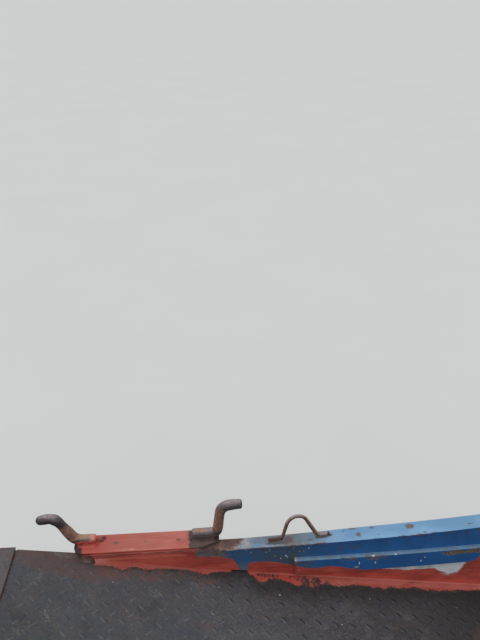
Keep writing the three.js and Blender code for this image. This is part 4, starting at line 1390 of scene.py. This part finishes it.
def foot_welds(side):
    """The fillets along both horns' feet on the horn plate, and the bead across each foot's end."""
    feet = Shape()
    for from_x, to_x in ((-52, 16), (-332, -386)):
        for outward in (-1, 1):
            fillet(feet, from_x, to_x, side * HORN_Y, outward)
        end = from_x - math.copysign(1, to_x - from_x)
        bead(feet, [(end, side * (HORN_Y + over), HORN_END_WELD_Z) for over in (-11, 11)], 6)
    return feet


def hoop_seats(side):
    for from_x, to_x in ((173, 210), (318, 357)):
        stations = (from_x, (from_x + to_x) / 2, to_x)
        for offset in (-4, 4):
            yield [(x, side * (hoop_y(x) + offset), rail_top(x) + 0.6) for x in stations], 2.2, 4


def shell_welds(side):
    """Outside: under the cap, along the strake, down the bow's knuckle and up the shell's seam."""
    end = AFT - 2
    shell = side * SHELL_OUTER
    strake_low, strake_high = STRAKE_Z - STRAKE_RADIUS, STRAKE_Z + STRAKE_RADIUS
    cap_y = side * (SHELL_OUTER + 0.4)
    yield fore_and_aft(CAP_WELD_FORE, end, cap_y, lambda x: rail_top(x) - CAP_THICK - 0.8), 3
    for z in (strake_low, strake_high):
        yield [(STRAKE_START, shell, z), (end, shell, z)], 4.5
    knuckle = side * SHELL_KNUCKLE_Y
    yield [(BOW + 4, knuckle, NOSE_FOOT_Z - 3), (RAKE_FOOT - 4, knuckle, 4)], 3.5
    seam = side * (SHELL_OUTER - 0.4)
    for z0, z1 in ((4, strake_low), (strake_high, rail_top(SHELL_SEAM) - CAP_THICK - 1)):
        yield [(SHELL_SEAM, seam, z0), (SHELL_SEAM, seam, z1)], 2.6


def bulwark_welds(materials):
    """Beads along the horn plates, horns, hoops, cap, lining foot and wale."""
    end = AFT - 2
    for name, side in SIDES.items():
        plate = materials["horn_plate"]
        welds(f"welds_horn_feet_{name}", plate, "red_primer", (), shape=foot_welds(side))
        welds(f"welds_rope_hoop_{name}", materials["horn"], "rusty_steel", hoop_seats(side))
        edge = [(x, side * PLATE_WELD_Y, PLATE_WELD_Z) for x in (-372, -22)]
        welds(f"weld_horn_plate_{name}", plate, "red_primer", [(edge, 2.4, 5)])
        corners = [
            (fore_and_aft(fore, aft, side * (LINING_FACE + 0.6), lambda x: deck_top(x) - 1.2, 4), 4.6)
            for fore, aft in ((RAIL_START + 2, SCUPPER_FORE - 2), (SCUPPER_AFT + 2, end))
        ]
        welds(f"weld_lining_foot_{name}", materials["lining"], "red_primer", corners)
        high = fore_and_aft(WALE_START, end, side * WALE_TOP_WELD_Y, lambda x: wale_top(x) + 0.3)
        foot_y = side * WALE_FOOT_WELD_Y
        low = fore_and_aft(WALE_START, end, foot_y, lambda x: wale_top(x) - WALE_HEIGHT - 0.4)
        welds(f"welds_wale_{name}", materials["wale"], "blue_paint", [(high, 2.0, 5), (low, 2.4, 5)])
        welds(f"welds_shell_{name}", materials["hull"], "hull_primer", shell_welds(side))


def hull_welds(materials):
    seam = [on_deck(x, 0, 0) for x in (BOW + 45, AFT - 2)]
    welds("weld_deck_seam", materials["deck"], "tread_plate", [(seam, 4)])
    knuckle = [(BOW - 0.5, y, NOSE_FOOT_Z) for y in (-SHELL_INNER, SHELL_INNER)]
    welds("weld_nose_knuckle", materials["nose"], "blue_paint", [(knuckle, 3.5)])

    face = BULKHEAD + 0.5
    deck_under = deck_top(BULKHEAD) - DECK_THICK
    side = SHELL_INNER - 1
    reach = SHELL_INNER - 4
    runs = [([(face, y, 8), (face, y, deck_under)], 4) for y in (-side, side)]
    runs += [([(face, -reach, z), (face, reach, z)], 4) for z in (7, deck_under)]
    for stiffener in STIFFENER_STATIONS_Y:
        for y in (stiffener - STIFFENER_HALF_THICK, stiffener + STIFFENER_HALF_THICK):
            runs.append(([(face, y, 10), (face, y, deck_under - 4)], 3.2))
    welds("welds_bulkhead", materials["primer"], "hull_primer", runs)


def seam_packing():
    """Grit packed under the flap's aft edge, clear of its hinges, its ribs and its sweep."""
    grit = Shape()
    rib = RIB_HALF_THICK + GRIT_GAP
    breaks = [(y, HINGE_NOTCH_HALF_WIDTH + GRIT_GAP) for y in HINGE_STATIONS_Y]
    breaks += [(y, rib) for y in RIB_STATIONS_Y]
    ends_y = [-SHELL_OUTER]
    for y, half in sorted(breaks):
        ends_y.extend((y - half, y + half))
    ends_y.append(SHELL_OUTER)
    blocks = [(low, high, GRIT_REACH) for low, high in zip(ends_y[::2], ends_y[1::2])]
    blocks += [(y - rib, y + rib, GRIT_REACH_AT_RIBS) for y in RIB_STATIONS_Y]
    for low, high, reach in blocks:
        section = (
            (BOW - reach, GRIT_LOW), (BOW - 0.1, GRIT_LOW), (BOW - 0.1, GRIT_TOP),
            (BOW - reach, GRIT_TOP - reach / GRIT_REACH),
        )
        points = [(x, y, z) for y in (low, high) for x, z in section]
        faces = [(0, 1, 2, 3), (7, 6, 5, 4)]
        faces.extend((k, 4 + k, 4 + (k + 1) % 4, (k + 1) % 4) for k in range(4))
        grit.add(points, faces)
    grit.piece("seam_grit", painted("seam_grit", seam_grit), "bow", "rusty_steel")


def strap_outlines(from_x, to_x, half_width, surface_point):
    """Beads around three sides of each hinge strap, open at from_x."""
    for hinge in HINGE_STATIONS_Y:
        low, high = hinge - half_width, hinge + half_width
        outline = [(from_x, low), (to_x, low), (to_x, high), (from_x, high)]
        places = [surface_point(x, y, 0.6) for x, y in outline]
        for start, end in zip(places, places[1:]):
            yield [start, end], 3


def flap_welds(materials):
    under = FLAP_TOP - FLAP_PLATE - 0.5
    runs = []
    for rib in RIB_STATIONS_Y:
        for y in (rib - RIB_HALF_THICK, rib + RIB_HALF_THICK):
            runs.append(([(FLAP_FORE + 12, y, under), (FLAP_AFT - 9, y, under)], 3.2))
    welds("welds_flap_ribs", materials["primer"], "hull_primer", runs, "landing_flap")
    reach = FLAP_HALF_WIDTH - 3
    runs = [([(FLAP_FORE - 1, y, z) for y in (-reach, reach)], 3) for z in (FLAP_TOP - 0.5, under)]
    welds("welds_flap_toe", materials["toe"], "rusty_steel", runs, "landing_flap")
    runs = strap_outlines(HINGE_X - 24, HINGE_X - LEAF_LENGTH, FLAP_LEAF_HALF_WIDTH, on_flap)
    welds("welds_flap_straps", materials["strap"], "rusty_steel", runs, "landing_flap")
    aft = BOW + LEAF_LENGTH * math.cos(DECK_ANGLE)
    runs = strap_outlines(BOW + HINGE_NOTCH_REACH + 8, aft, STRAP_HALF_WIDTH, on_deck)
    welds("welds_deck_straps", materials["strap"], "rusty_steel", runs)


def paint_node(node, material, bevel=0.8, edge_material=None):
    """A finish and rounded edges for a node, with the rounded strips in a more worn paint if given."""
    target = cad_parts[node]
    target.data.materials.clear()
    target.data.materials.append(material)
    if bevel:
        edges = target.modifiers.new("edges", "BEVEL")
        edges.width = bevel * MM
        edges.segments = 2
        edges.limit_method = "ANGLE"
        edges.angle_limit = math.radians(40)
    if edge_material:
        target.data.materials.append(edge_material)
        edges.material = 1


def dress_frame():
    """Gives each of the frame's nodes its finish, and returns the finishes that added pieces share."""
    rail = painted("rail_paint", rail_paint)
    rail_edge = painted("rail_paint_edge", rail_paint, True)
    wale = painted("wale_paint", wale_paint)
    wale_edge = painted("wale_paint_edge", wale_paint, True)
    horn_plate = painted("horn_plate_paint", horn_plate_paint)
    horn_plate_edge = painted("horn_plate_paint_edge", horn_plate_paint, True)
    lining = painted("lining_paint", lining_paint)
    hull = painted("hull_paint", hull_paint)
    strake = painted("strake_paint", strake_paint)
    primed = painted("block_primer", bare_primer)
    deck = painted("deck_steel", deck_steel)
    flap = painted("flap_steel", deck_steel, FLAP_TOP)
    nose = painted("nose_paint", nose_paint)
    strap = painted("strap_paint", weathered_strap)
    toe = painted("toe_steel", toe_steel)
    end = painted("end_rust_and_light", bar_rust_and_light)
    pin = painted("pin_steel", pin_steel)

    for name in SIDES:
        paint_node(f"rail_cap_{name}", rail, 1.2, rail_edge)
        paint_node(f"wale_bar_{name}", wale, 1.2, wale_edge)
        paint_node(f"horn_plate_{name}", horn_plate, 1.4, horn_plate_edge)
        paint_node(f"bulwark_lining_{name}", lining, 0)
        paint_node(f"bulwark_fore_end_{name}", end)
        paint_node(f"bulwark_aft_end_{name}", primed, 0.6)
        paint_node(f"shell_plate_{name}", hull)
        paint_node(f"rubbing_strake_{name}", strake, 1.0)
        paint_node(f"deck_plate_{name}", deck)
        for bar in ("fore_horn", "aft_horn", "rope_hoop"):
            paint_node(f"{bar}_{name}", end, 0)
    for node, material, bevel in (
        ("rake_plate", hull, 0.8), ("bottom_plate", hull, 0.8), ("nose_plate", nose, 1.0),
        ("aft_bulkhead", primed, 0), ("flap_plate", flap, 0.8), ("flap_toe_bar", toe, 0.8),
    ):
        paint_node(node, material, bevel)
    for i in range(1, len(RIB_STATIONS_Y) + 1):
        paint_node(f"bulkhead_stiffener_{i}", primed, 0.6)
        paint_node(f"flap_rib_{i}", primed)
    for name in ("port", "centre", "starboard"):
        paint_node(f"hinge_deck_strap_{name}", strap, 1.0)
        paint_node(f"hinge_flap_strap_{name}", strap, 1.0)
        paint_node(f"hinge_pin_{name}", pin)
    return {
        "horn": end, "horn_plate": horn_plate, "lining": lining, "wale": wale, "hull": hull,
        "deck": deck, "flap": flap, "nose": nose, "primer": primed, "toe": toe, "strap": strap,
    }


def studio():
    """A pale floor, soft light and the camera."""
    ground = bpy.data.meshes.new("floor")
    corners = [(-1, -1, 0), (1, -1, 0), (1, 1, 0), (-1, 1, 0)]
    ground.from_pydata([Vector(c) * FLOOR_REACH for c in corners], [], [(0, 1, 2, 3)])
    ground.materials.append(painted("floor_finish", floor_finish))
    new_object("floor", ground)

    world = bpy.data.worlds.new("sky")
    world.use_nodes = True
    background = world.node_tree.nodes["Background"]
    background.inputs["Color"].default_value = (0.80, 0.86, 0.94, 1)
    background.inputs["Strength"].default_value = 0.55
    bpy.context.scene.world = world

    lamp = bpy.data.lights.new("overcast_key", "SUN")
    lamp.energy = 1.75
    lamp.angle = math.radians(75)
    lamp.color = (1.0, 0.985, 0.96)
    key = new_object("overcast_key", lamp)
    key.rotation_euler = Vector((-1.8, -0.4, 5.0)).to_track_quat("Z", "Y").to_euler()

    lens = bpy.data.cameras.new("camera")
    lens.lens = lens.sensor_width * FOCAL_PIXELS / IMAGE_HEIGHT
    lens.clip_start = 0.02
    lens.clip_end = 400
    camera = new_object("camera", lens)
    camera.location = CAMERA_PLACE
    camera.rotation_euler = (math.radians(90 - CAMERA_FALL), 0, math.radians(-CAMERA_HEADING))
    bpy.context.scene.camera = camera
    bpy.context.scene.view_settings.view_transform = "Standard"


materials = dress_frame()
mooring_bars()
tread_plates(materials["deck"], materials["flap"])
bulwark_welds(materials)
hull_welds(materials)
seam_packing()
flap_welds(materials)
studio()
